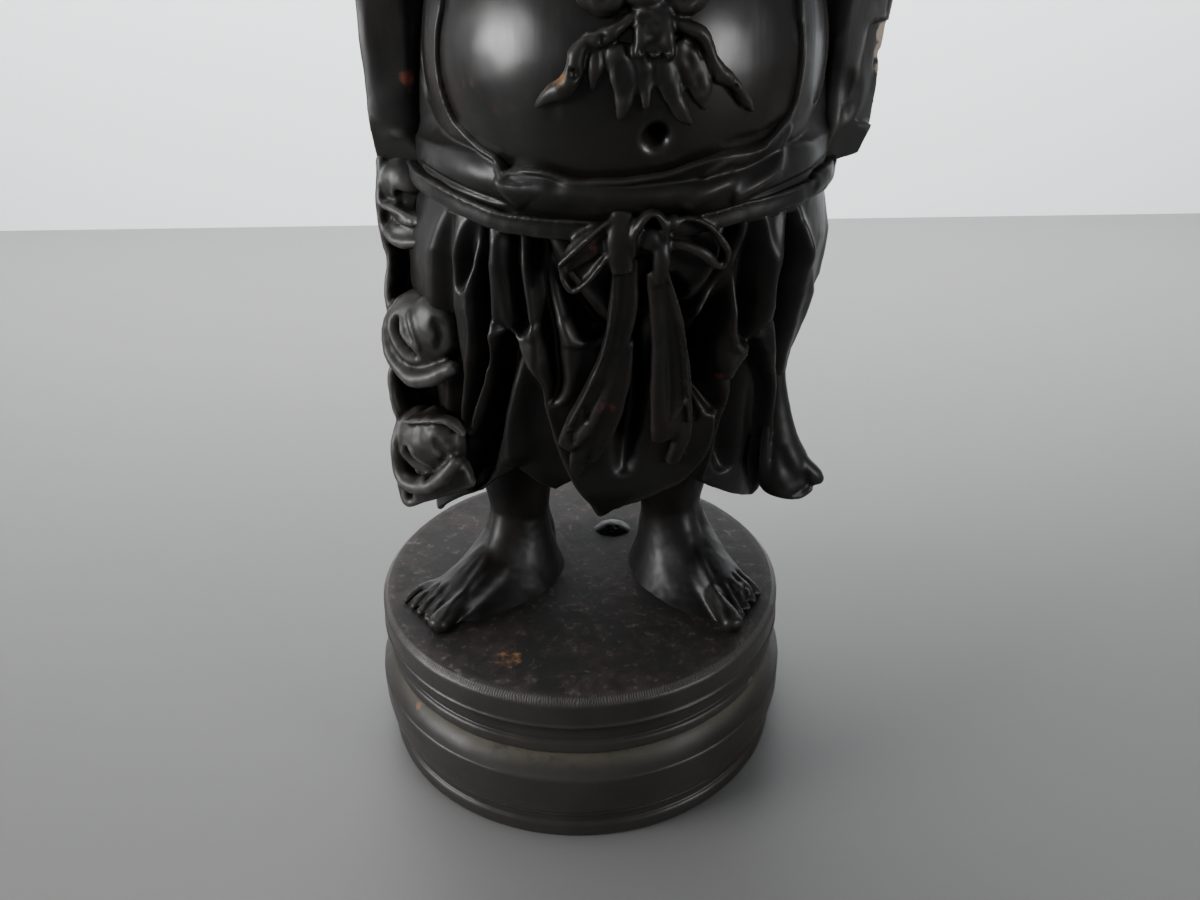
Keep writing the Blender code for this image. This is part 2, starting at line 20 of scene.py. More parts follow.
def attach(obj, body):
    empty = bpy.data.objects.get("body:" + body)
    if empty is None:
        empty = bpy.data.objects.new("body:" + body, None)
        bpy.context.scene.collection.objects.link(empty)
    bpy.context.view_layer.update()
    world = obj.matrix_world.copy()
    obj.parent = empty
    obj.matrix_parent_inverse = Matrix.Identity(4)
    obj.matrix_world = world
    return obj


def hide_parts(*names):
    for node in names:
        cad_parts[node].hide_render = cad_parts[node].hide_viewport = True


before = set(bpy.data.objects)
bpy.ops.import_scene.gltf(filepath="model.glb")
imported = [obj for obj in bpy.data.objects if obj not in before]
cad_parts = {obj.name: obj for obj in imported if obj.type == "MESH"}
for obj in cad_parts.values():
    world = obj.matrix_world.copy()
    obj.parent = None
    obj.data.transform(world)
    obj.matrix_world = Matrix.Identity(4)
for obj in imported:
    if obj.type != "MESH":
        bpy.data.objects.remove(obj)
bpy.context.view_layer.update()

Array = np.ndarray
Row = tuple[float, ...]
Rows = Sequence[Row]

NODE = "laughing_buddha_statue"
SQUARE = 0.006
PLINTH_TOP = 0.048
MIDDLE = 1.95
LOG = logging.getLogger("statue")


def lean(height: Array) -> Array:
    """How far the figure's axis has moved towards +X at heights in squares."""
    return 0.4 + 0.078 * np.minimum(height, 20.0)


def spline(rows: Rows, count: int) -> Array:
    """Reads rows at even steps along a smooth curve through the given rows.

    Args:
        rows: the rows that the curve goes through.
        count: how many rows to read.

    Returns:
        An array of count rows.
    """
    given = np.asarray(rows, float)
    padded = np.vstack([2 * given[0] - given[1], given, 2 * given[-1] - given[-2]])
    place = np.linspace(0, len(given) - 1, count)
    first = np.minimum(place.astype(int), len(given) - 2)
    step = (place - first)[:, None]
    before, start, end, after = (padded[first + k] for k in range(4))
    bend = 2 * before - 5 * start + 4 * end - after
    twist = 3 * start - before - 3 * end + after
    return 0.5 * (2 * start + (end - before) * step + bend * step**2 + twist * step**3)


def mirrored(rows: Rows) -> Rows:
    """Rows that start with a place, in their mirror image across the figure's middle."""
    return tuple((2 * MIDDLE - row[0], *row[1:]) for row in rows)


def columns(span: float, front: int, back: int) -> Array:
    """Degrees round the figure, close together in front and further apart behind.

    Args:
        span: how far the close ones reach to each side.
        front: how many of them are close.
        back: how many are behind.

    Returns:
        The degrees from the front.
    """
    close = np.linspace(-span, span, front)
    behind = np.linspace(span, 360 - span, back + 2)[1:-1]
    return np.concatenate([close, (behind + 180) % 360 - 180])


def rounded(wave: Array, power: float) -> Array:
    """A sine or cosine squared off by a power, with its sign kept."""
    return np.sign(wave) * np.abs(wave) ** power


def line_gap(points: Array, line: Array) -> tuple[Array, Array, Array]:
    """Measures points against a line of short straight runs.

    Args:
        points: places, in two or three dimensions.
        line: the line's corners, in the same dimensions.

    Returns:
        Each point's distance, the share of the line at its nearest place, and the side it lies on,
        which is 1 on the line's left in two dimensions.
    """
    nearest = np.full(len(points), 1e9)
    along = np.zeros(len(points))
    side = np.ones(len(points))
    runs = len(line) - 1
    for number, (start, end) in enumerate(zip(line[:-1], line[1:])):
        run = end - start
        offset = points - start
        share = np.clip(offset @ run / max(run @ run, 1e-12), 0, 1)
        length = np.linalg.norm(offset - share[:, None] * run, axis=1)
        closer = length < nearest
        nearest = np.where(closer, length, nearest)
        along = np.where(closer, (number + share) / runs, along)
        if points.shape[1] == 2:
            turn = run[0] * offset[:, 1] - run[1] * offset[:, 0]
            side = np.where(closer, np.sign(turn), side)
    return nearest, along, side


@dataclass(frozen=True)
class Body:
    """A rounded upright body, told by rows of height, half width, front depth and back depth."""

    stations: Rows
    power: float = 2.3

    def sizes(self, height: Array) -> list[Array]:
        """The half width, front depth and back depth at each height."""
        table = np.asarray(self.stations)
        return [np.interp(height, table[:, 0], table[:, column]) for column in (1, 2, 3)]

    def reach(self, angle: Array, height: Array, swell: Array | float = 0.0) -> Array:
        """How far the surface is from the figure's axis.

        Args:
            angle: angles from the front in radians.
            height: heights in squares.
            swell: how far the surface is moved out.

        Returns:
            The distances in squares.
        """
        wide, front, back = self.sizes(height)
        deep = np.where(np.cos(angle) > 0, front, back)
        across = np.abs(np.sin(angle) / (wide + swell)) ** self.power
        along = np.abs(np.cos(angle) / (deep + swell)) ** self.power
        return (across + along) ** (-1 / self.power)

    def at(self, degrees: Array, height: Array, swell: Array | float = 0.0) -> Array:
        """Reads points on the body.

        Args:
            degrees: angles from the front towards +X.
            height: heights in squares.
            swell: how far outside the surface the points lie.

        Returns:
            The points in squares.
        """
        wide, front, back = self.sizes(height)
        angle = np.radians(degrees)
        across = rounded(np.sin(angle), 2.0 / self.power)
        along = rounded(np.cos(angle), 2.0 / self.power)
        deep = np.where(along > 0, front, back)
        return np.stack([lean(height) + (wide + swell) * across, -(deep + swell) * along, height + 0 * angle], -1)


@dataclass(frozen=True)
class Globe:
    """A rounded belly or breast."""

    centre: Row
    radii: Row

    def reach(self, angle: Array, height: Array, swell: Array | float = 0.0) -> Array:
        """How far the surface is from the figure's axis.

        Args:
            angle: angles from the front in radians.
            height: heights in squares.
            swell: how far the surface is moved out.

        Returns:
            The distances in squares, and 0 where the axis looks past the globe.
        """
        wide, deep, tall = self.radii
        ring = np.sqrt(np.clip(1 - ((height - self.centre[2]) / tall) ** 2, 1e-4, 1))
        side, front = wide * ring + swell, deep * ring + swell
        offset, ahead = self.centre[0] - lean(height), self.centre[1]
        across, along = np.sin(angle), -np.cos(angle)
        square = (across / side) ** 2 + (along / front) ** 2
        middle = across * offset / side**2 + along * ahead / front**2
        rest = (offset / side) ** 2 + (ahead / front) ** 2 - 1
        inside = middle**2 - square * rest
        return np.where((inside > 0) & (ring > 0.02), (middle + np.sqrt(np.maximum(inside, 0))) / square, 0)

    def at(self, degrees: Array, height: Array, swell: Array | float = 0.0) -> Array:
        """Reads points on the globe.

        Args:
            degrees: angles from the front towards +X.
            height: heights in squares.
            swell: how far outside the surface the points lie.

        Returns:
            The points in squares.
        """
        wide, deep, tall = self.radii
        ring = np.sqrt(np.clip(1 - ((height - self.centre[2]) / tall) ** 2, 0, 1))
        angle = np.radians(degrees)
        across = self.centre[0] + (wide * ring + swell) * np.sin(angle)
        return np.stack([across, self.centre[1] - (deep * ring + swell) * np.cos(angle), height + 0 * angle], -1)


SKIRT = Body((
    (3.0, 7.6, 3.9, 6.0),
    (7.0, 7.9, 4.9, 6.3),
    (10.0, 7.7, 5.9, 6.5),
    (13.0, 7.8, 6.9, 6.6),
    (16.0, 8.6, 7.9, 6.8),
    (18.0, 8.6, 8.4, 6.9),
    (20.0, 8.1, 8.5, 6.7),
    (22.0, 8.0, 8.3, 6.6),
))
TORSO = Body((
    (19.5, 8.0, 7.6, 6.6),
    (22.0, 8.2, 7.2, 6.8),
    (24.0, 8.0, 6.8, 6.8),
    (27.0, 7.4, 6.2, 6.8),
    (30.0, 7.4, 6.0, 6.5),
    (33.0, 7.1, 5.6, 6.0),
    (35.5, 6.3, 4.6, 5.2),
    (37.0, 4.6, 3.4, 4.0),
))
BELLY = Globe((1.95, -2.3, 24.5), (7.3, 7.9, 7.0))


class Forms:
    """Closed rounded forms gathered for one carved piece, in squares of the grid."""

    def __init__(self) -> None:
        """Starts with no forms."""
        self.points: list[Array] = []
        self.faces: list[list[int]] = []
        self.count = 0

    def loft(self, rings: Array) -> None:
        """Adds a closed skin through rings of points.

        Args:
            rings: rings by sides by three.
        """
        number, sides, _ = rings.shape
        index = self.count + np.arange(number * sides).reshape(number, sides)
        right = np.roll(index, -1, axis=1)
        quads = np.stack([index[:-1], right[:-1], right[1:], index[1:]], -1)
        self.faces += quads.reshape(-1, 4).tolist()
        self.faces += [index[0][::-1].tolist(), index[-1].tolist()]
        self.points.append(rings.reshape(-1, 3))
        self.count += number * sides

    def strap(self, rows: Rows, steps: int = 28, sides: int = 16, facing: Row | None = None,
              square: float = 2.0) -> None:
        """Adds a band along a smooth path.

        Args:
            rows: x, y, z, half width and half thickness at places along the path.
            steps: rings along the path.
            sides: points round each ring.
            facing: the way the thickness points, or away from the figure's axis.
            square: 2 for a round section, more for a squarer one.
        """
        path = spline(rows, steps)
        centre = path[:, :3]
        run = np.gradient(centre, axis=0)
        run /= np.linalg.norm(run, axis=1)[:, None]
        outward = centre * (1, 1, 0)
        outward[:, 0] -= lean(centre[:, 2])
        if facing is not None:
            outward = np.tile(facing, (steps, 1))
        across = np.cross(run, outward)
        across /= np.linalg.norm(across, axis=1)[:, None]
        outward = np.cross(across, run)
        turn = np.linspace(0, 2 * math.pi, sides, endpoint=False)[None, :, None]
        rim = rounded(np.cos(turn), 2 / square) * (across * path[:, 3:4])[:, None]
        rim = rim + rounded(np.sin(turn), 2 / square) * (outward * path[:, 4:5])[:, None]
        rings = list(centre[:, None] + rim)
        for reach, share in ((0.35, 0.85), (0.6, 0.45)):
            head = centre[0] - run[0] * reach * path[0, 4]
            tail = centre[-1] + run[-1] * reach * path[-1, 4]
            rings = [head + share * rim[0]] + rings + [tail + share * rim[-1]]
        self.loft(np.array(rings))

    def strap_on(self, surface: Body | Globe, rows: Rows, steps: int = 28, square: float = 2.0) -> None:
        """Adds a band lying on a surface.

        Args:
            surface: what it lies on.
            rows: degrees, height, rise, half width and half thickness at places along the path.
            steps: rings along the path.
            square: 2 for a round section, more for a squarer one.
        """
        table = np.asarray(rows, float)
        places = surface.at(table[:, 0], table[:, 1], table[:, 2])
        self.strap(np.hstack([places, table[:, 3:5]]), steps, square=square)

    def ball(self, centre: Row, radii: Row, turn: Row = (0, 0, 0)) -> None:
        """Adds an ellipsoid.

        Args:
            centre: its centre.
            radii: its radii.
            turn: degrees about X, Y and Z.
        """
        level = np.radians(np.linspace(-88, 88, 24))[:, None]
        angle = np.linspace(0, 2 * math.pi, 36, endpoint=False)[None]
        unit = np.stack([np.cos(level) * np.cos(angle), np.cos(level) * np.sin(angle),
                         np.sin(level) + 0 * angle], -1)
        spin = np.array(Euler([math.radians(one) for one in turn]).to_matrix())
        self.loft((unit * radii) @ spin.T + centre)

    def mesh(self, name: str) -> bpy.types.Mesh:
        """Makes the gathered forms into one mesh in metres.

        Args:
            name: the mesh's name.

        Returns:
            The mesh, with its faces turned outwards.
        """
        mesh = bpy.data.meshes.new(name)
        points = to_metres(np.vstack(self.points))
        mesh.from_pydata(points.tolist(), [], self.faces)
        working = bmesh.new()
        working.from_mesh(mesh)
        bmesh.ops.recalc_face_normals(working, faces=working.faces)
        working.to_mesh(mesh)
        working.free()
        return mesh


@dataclass(frozen=True)
class Stroke:
    """A mark cut along a line of places in squares, or raised where its depth is below zero."""

    line: Rows
    width: float
    depth: float
    fade: tuple[float, float] = (0.2, 0.2)
    shoulder: float = 0.0
    through: Row | None = None

    def offset(self, points: Array) -> Array:
        """How far each point moves outwards.

        Args:
            points: places in squares, in space or on a sheet laid flat.

        Returns:
            The moves in squares.
        """
        line = spline(self.line, 5 * len(self.line)) if len(self.line) > 1 else np.asarray(self.line * 2, float)
        if self.through is not None:
            way = np.asarray(self.through) / np.linalg.norm(self.through)
            press = np.eye(3) - 0.75 * np.outer(way, way)
            points, line = points @ press, line @ press
        reach = 3.6 * self.width
        near = np.all((points > line.min(0) - reach) & (points < line.max(0) + reach), axis=1)
        move = np.zeros(len(points))
        if near.any():
            gap, along, _ = line_gap(points[near], line)
            start, end = (max(one, 1e-3) for one in self.fade)
            ease = np.clip(along / start, 0, 1) * np.clip((1 - along) / end, 0, 1)
            ease = np.ones_like(ease) if len(self.line) == 1 else np.sqrt(ease)
            gap = gap / (self.width * (0.45 + 0.55 * ease))
            raised = self.shoulder * np.exp(-((gap - 1.9) ** 2))
            move[near] = self.depth * ease * (raised - np.exp(-(gap**2)))
        return move


@dataclass(frozen=True)
class ClothEdge:
    """An edge of cloth that lies over what is on its left, drawn on a sheet laid flat."""

    line: Rows
    rise: float
    reach: float
    lip: float = 0.06

    def offset(self, points: Array) -> Array:
        """How far each point moves outwards.

        Args:
            points: places in squares on the sheet.

        Returns:
            The moves in squares.
        """
        line = spline(self.line, 6 * len(self.line))
        span = 2.6 * self.reach
        near = np.all((points > line.min(0) - span) & (points < line.max(0) + span), axis=1)
        move = np.zeros(len(points))
        gap, along, side = line_gap(points[near], line)
        gap = -gap * side
        ease = np.sqrt(np.clip(along / 0.2, 0, 1) * np.clip((1 - along) / 0.2, 0, 1))
        over = self.rise * np.clip(gap / 0.16, 0, 1) * np.exp(-((gap / self.reach) ** 2))
        bead = self.lip * np.exp(-(((gap - 0.24) / 0.16) ** 2))
        under = 0.45 * self.rise * np.exp(-((gap / (0.5 * self.reach)) ** 2)) * (gap < 0)
        move[near] = ease * (over + bead - under)
        return move


@dataclass(frozen=True)
class Facet:
    """A flat cut: what stands beyond the plane, within reach of its place, is pared back to it.

    Beyond its reach the cut runs out over the share of the reach that ease gives.
    """

    place: Row
    normal: Row
    reach: float = 9.0
    ease: float = 0.01

    def pare(self, points: Array) -> Array:
        """Pares points back to the plane.

        Args:
            points: places in squares.

        Returns:
            The new places.
        """
        way = np.asarray(self.normal) / np.linalg.norm(self.normal)
        beyond = (points - self.place) @ way
        far = np.linalg.norm(points - self.place, axis=1) / self.reach - 1
        return points - (np.maximum(beyond, 0) * np.clip(1 - far / self.ease, 0, 1))[:, None] * way


@dataclass(frozen=True)
class Sheet:
    """Cloth laid flat for drawing: degrees round the figure become squares at one scale."""

    per_degree: float

    def place(self, degrees: Array, heights: Array) -> Array:
        """Flat places in squares, one row each."""
        return np.stack([degrees.ravel() * self.per_degree, heights.ravel()], -1)

    def swell(self, marks: Iterable["Stroke | ClothEdge"], degrees: Array, heights: Array) -> Array:
        """How far marks drawn in degrees and heights move each place outwards.

        Args:
            marks: the strokes and edges.
            degrees: the places' degrees.
            heights: the places' heights.

        Returns:
            The moves in squares, shaped like the heights.
        """
        flat = self.place(degrees, heights)
        total = np.zeros(len(flat))
        for mark in marks:
            line = tuple((turn * self.per_degree, height) for turn, height in mark.line)
            total += replace(mark, line=line).offset(flat)
        return total.reshape(heights.shape)


@dataclass(frozen=True)
class Spot:
    """A place where the finish differs: its mask's name, its centre and its radius in squares."""

    mask: str
    centre: Row
    radius: float
    strength: float = 1.0


def to_squares(points: Array) -> Array:
    """Places in metres, as places on the sculptor's grid."""
    return (points - (0, 0, PLINTH_TOP)) / SQUARE


def to_metres(points: Array) -> Array:
    """Places on the sculptor's grid, as places in metres."""
    return points * SQUARE + (0, 0, PLINTH_TOP)


def linked(name: str, data: bpy.types.ID) -> bpy.types.Object:
    """Adds an object to the scene.

    Args:
        name: its name.
        data: its mesh, light or camera.

    Returns:
        The object.
    """
    piece = bpy.data.objects.new(name, data)
    bpy.context.scene.collection.objects.link(piece)
    return piece


def net(name: str, rings: Array) -> bpy.types.Object:
    """Lays a piece out as one fine net.

    Args:
        name: its name.
        rings: rings by sides by three, in squares.

    Returns:
        The bare piece.
    """
    forms = Forms()
    forms.loft(rings)
    return linked(name, forms.mesh(name))


def read_points(mesh: bpy.types.Mesh, what: str = "co") -> Array:
    """Reads a mesh's places or normals, by vertex.

    Args:
        mesh: the mesh.
        what: co or normal.

    Returns:
        An array of rows of three.
    """
    flat = np.empty(3 * len(mesh.vertices))
    mesh.vertices.foreach_get(what, flat)
    return flat.reshape(-1, 3)


def write_points(mesh: bpy.types.Mesh, points: Array) -> None:
    """Moves a mesh's vertices to new places."""
    mesh.vertices.foreach_set("co", points.astype(np.float32).ravel())
    mesh.update()


def read_edges(mesh: bpy.types.Mesh) -> Array:
    """The two vertices of each edge of a mesh."""
    pairs = np.empty(2 * len(mesh.edges), np.int32)
    mesh.edges.foreach_get("vertices", pairs)
    return pairs.reshape(-1, 2)


def around(pairs: Array, values: Array) -> Array:
    """The mean of each vertex's neighbours.

    Args:
        pairs: the two vertices of each edge.
        values: one row for each vertex.

    Returns:
        Rows like the values.
    """
    both = np.vstack([pairs, pairs[:, ::-1]])
    count = np.maximum(np.bincount(both[:, 0], minlength=len(values)), 1)
    if values.ndim == 1:
        return np.bincount(both[:, 0], values[both[:, 1]], len(values)) / count
    columns = [np.bincount(both[:, 0], values[both[:, 1], k], len(values)) for k in range(values.shape[1])]
    return np.stack(columns, -1) / count[:, None]


def store(mesh: bpy.types.Mesh, name: str, values: Array) -> None:
    """Keeps one number for each vertex under a name that a finish reads."""
    layer = mesh.attributes.get(name) or mesh.attributes.new(name, "FLOAT", "POINT")
    layer.data.foreach_set("value", values.astype(np.float32))


def keep_largest_shells(mesh: bpy.types.Mesh, shells: int) -> None:
    """Drops sealed pockets and crumbs.

    Args:
        mesh: the skin.
        shells: how many of the biggest connected shells stay.
    """
    pairs = read_edges(mesh)
    label = np.arange(len(mesh.vertices))
    settled = False
    while not settled:
        low = np.minimum(label[pairs[:, 0]], label[pairs[:, 1]])
        fresh = label.copy()
        np.minimum.at(fresh, pairs[:, 0], low)
        np.minimum.at(fresh, pairs[:, 1], low)
        fresh = fresh[fresh]
        settled = bool((fresh == label).all())
        label = fresh
    keep = np.isin(label, np.argsort(np.bincount(label))[-shells:])
    if not keep.all():
        working = bmesh.new()
        working.from_mesh(mesh)
        working.verts.ensure_lookup_table()
        drop = [working.verts[i] for i in np.flatnonzero(~keep)]
        bmesh.ops.delete(working, geom=drop)
        working.to_mesh(mesh)
        working.free()


def evaluated(piece: bpy.types.Object) -> bpy.types.Mesh:
    """The mesh of an object with its modifiers applied."""
    graph = bpy.context.evaluated_depsgraph_get()
    return bpy.data.meshes.new_from_object(piece.evaluated_get(graph))


def fused(name: str, mesh: bpy.types.Mesh, grain: float, softening: int, shells: int = 1) -> bpy.types.Object:
    """Fuses forms into one skin.

    Args:
        name: the new object's name.
        mesh: closed forms that overlap.
        grain: the skin's fineness in metres.
        softening: how often the skin is evened out.
        shells: how many separate shells the forms make.

    Returns:
        The object, linked to the scene.
    """
    piece = linked(name, mesh)
    fuse = piece.modifiers.new("Fuse", "REMESH")
    fuse.mode = "VOXEL"
    fuse.voxel_size = grain
    soften = piece.modifiers.new("Soften", "SMOOTH")
    soften.factor = 0.5
    soften.iterations = softening
    piece.data = evaluated(piece)
    piece.data.name = name
    piece.modifiers.clear()
    bpy.data.meshes.remove(mesh)
    keep_largest_shells(piece.data, shells)
    return piece


def unevenness(points: Array, scale: float, seed: float) -> Array:
    """Smooth noise at places, between about -1 and 1, with swells of the scale's size."""
    moved = (points / scale + seed).tolist()
    return np.array([noise.noise(one) for one in moved])


def sculpt(mesh: bpy.types.Mesh, facets: Iterable[Facet], marks: Iterable[Stroke], waves: Rows) -> None:
    """Pares a skin, cuts marks into it and makes it as uneven as handwork is.

    Args:
        mesh: the skin.
        facets: flat cuts in squares.
        marks: strokes in squares.
        waves: rows of scale and height of the unevenness, in squares.
    """
    points = to_squares(read_points(mesh))
    for facet in facets:
        points = facet.pare(points)
    write_points(mesh, to_metres(points))
    normal = read_points(mesh, "normal")
    move = np.zeros(len(points))
    for mark in marks:
        move += mark.offset(points)
    for scale, height in waves:
        move += height * unevenness(points, scale, 3.7)
    points += normal * move[:, None]
    write_points(mesh, to_metres(points))


def mask_shape(mesh: bpy.types.Mesh, reach: float) -> None:
    """Stores where a skin is hollow and where it stands proud, for dust and for wear.

    Args:
        mesh: the skin.
        reach: the size of the hollows and edges that count, in metres.
    """
    points = read_points(mesh)
    normal = read_points(mesh, "normal")
    pairs = read_edges(mesh)
    step = float(np.median(np.linalg.norm(points[pairs[:, 0]] - points[pairs[:, 1]], axis=1)))
    smooth = points
    for _ in range(max(2, min(12, round((reach / step) ** 2)))):
        smooth = around(pairs, smooth)
    bend = np.einsum("ij,ij->i", smooth - points, normal) / reach
    bend = around(pairs, bend)
    store(mesh, "hollow", np.clip(bend * 5.0, 0, 1))
    store(mesh, "proud", np.clip(-bend * 5.0, 0, 1))


def mask_spots(mesh: bpy.types.Mesh, spots: Iterable[Spot]) -> None:
    """Stores the masks of the places where the finish differs.

    Args:
        mesh: the skin.
        spots: the places.
    """
    points = to_squares(read_points(mesh))
    masks = {name: np.zeros(len(points)) for name in ("red", "pale", "ochre")}
    for spot in spots:
        gap = np.linalg.norm(points - spot.centre, axis=1) / spot.radius
        masks[spot.mask] = np.maximum(masks[spot.mask], spot.strength * np.clip(1.6 - gap, 0, 1))
    for name, values in masks.items():
        store(mesh, name, values)


def dress(piece: bpy.types.Object, finish: bpy.types.Material, spots: Iterable[Spot], reach: float = 0.0011) -> None:
    """Masks and finishes a piece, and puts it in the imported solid's place.

    Args:
        piece: the piece.
        finish: its material.
        spots: the places where the finish differs.
        reach: the size of the hollows and edges that count, in metres.
    """
    mesh = piece.data
    mask_shape(mesh, reach)
    mask_spots(mesh, spots)
    mesh.materials.clear()
    mesh.materials.append(finish)
    mesh.shade_smooth()
    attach(piece, "root")
    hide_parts(NODE)
    LOG.info("%s: %d triangles", piece.name, sum(len(face.vertices) - 2 for face in mesh.polygons))


class Part(Enum):
    """The parts of the carving that take a finish of their own."""

    FIGURE = "figure"
    FOLDS_PAINTED_LIT = "folds"
    # Sleeves and side folds: the same wood, painted with a lighter stain and brighter, stronger rubbed edges as painted
    # light for the light these folds catch; the rubbing is partly real wear and partly painted highlight.
    SKIN = "skin"
    PLINTH = "plinth"


class Shade:
    """A socket on its way through the nodes, with arithmetic on it."""

    def __init__(self, graph: "Graph", socket: bpy.types.NodeSocket) -> None:
        """Wraps an output of one of the graph's nodes."""
        self.graph = graph
        self.socket = socket

    def _work(self, operation: str, first: object, second: object) -> "Shade":
        """Adds the node that works out an operation on two values.

        Args:
            operation: the operation's name.
            first: its first value.
            second: its second value.

        Returns:
            The result.
        """
        vector = any(isinstance(one, Shade) and one.socket.type in ("VECTOR", "RGBA") for one in (first, second))
        kind = "ShaderNodeVectorMath" if vector else "ShaderNodeMath"
        if vector:
            first, second = ((one,) * 3 if isinstance(one, float) else one for one in (first, second))
        return self.graph.add(kind, {"operation": operation}, {0: first, 1: second})

    def __add__(self, other: object) -> "Shade":
        """The sum."""
        return self._work("ADD", self, other)

    __radd__ = __add__

    def __sub__(self, other: object) -> "Shade":
        """The difference."""
        return self._work("SUBTRACT", self, other)

    def __rsub__(self, other: object) -> "Shade":
        """The difference, from the other."""
        return self._work("SUBTRACT", other, self)

    def __mul__(self, other: object) -> "Shade":
        """The product."""
        return self._work("MULTIPLY", self, other)

    __rmul__ = __mul__

    def __pow__(self, other: object) -> "Shade":
        """The power."""
        return self._work("POWER", self, other)

    def between(self, low: float, high: float) -> "Shade":
        """A smooth step from 0 at the low value to 1 at the high one."""
        return self.graph.add("ShaderNodeMapRange", {"interpolation_type": "SMOOTHSTEP"},
                              {"Value": self, "From Min": low, "From Max": high})

    def most(self, other: object) -> "Shade":
        """The larger of two values."""
        return self._work("MAXIMUM", self, other)


class Graph:
    """The nodes of one material."""

    def __init__(self, material: bpy.types.Material) -> None:
        """Clears a material's nodes.

        Args:
            material: the material.
        """
        material.use_nodes = True
        self.tree = material.node_tree
        self.tree.nodes.clear()

    def add(self, kind: str, settings: dict[str, object] | None = None,
            sockets: dict[object, object] | None = None, output: object = 0) -> Shade:
        """Adds a node of any kind.

        Args:
            kind: the node's type.
            settings: its own settings, and the stops of a ramp.
            sockets: values or links for its inputs, by name or number.
            output: the output that is wanted.

        Returns:
            The output.
        """
        node = self.tree.nodes.new(kind)
        for key, value in (settings or {}).items():
            if key == "stops":
                ramp = node.color_ramp
                while len(ramp.elements) < len(value):
                    ramp.elements.new(0.5)
                for element, (place, colour) in zip(ramp.elements, value):
                    element.position = place
                    element.color = (*colour, 1.0)
            else:
                setattr(node, key, value)
        for key, value in (sockets or {}).items():
            if isinstance(value, Shade):
                self.tree.links.new(value.socket, node.inputs[key])
            else:
                node.inputs[key].default_value = value
        return Shade(self, node.outputs[output] if node.outputs else None)

    def mix(self, first: object, second: object, factor: object) -> Shade:
        """Blends two colours, with the factor as the share of the second."""
        colours = [one if isinstance(one, Shade) else (*one, 1.0) for one in (first, second)]
        return self.add("ShaderNodeMix", {"data_type": "RGBA"}, {0: factor, 6: colours[0], 7: colours[1]}, 2)

    def grain(self, place: Shade, scale: float, detail: float = 4.0, roughness: float = 0.55,
              warp: float = 0.0) -> Shade:
        """Noise in space, as a value about one half."""
        return self.add("ShaderNodeTexNoise", {"noise_dimensions": "3D"},
                        {"Vector": place, "Scale": scale, "Detail": detail, "Roughness": roughness,
                         "Distortion": warp})

    def mask(self, name: str) -> Shade:
        """One of the numbers stored on the skin."""
        return self.add("ShaderNodeAttribute", {"attribute_name": name}, {}, "Fac")


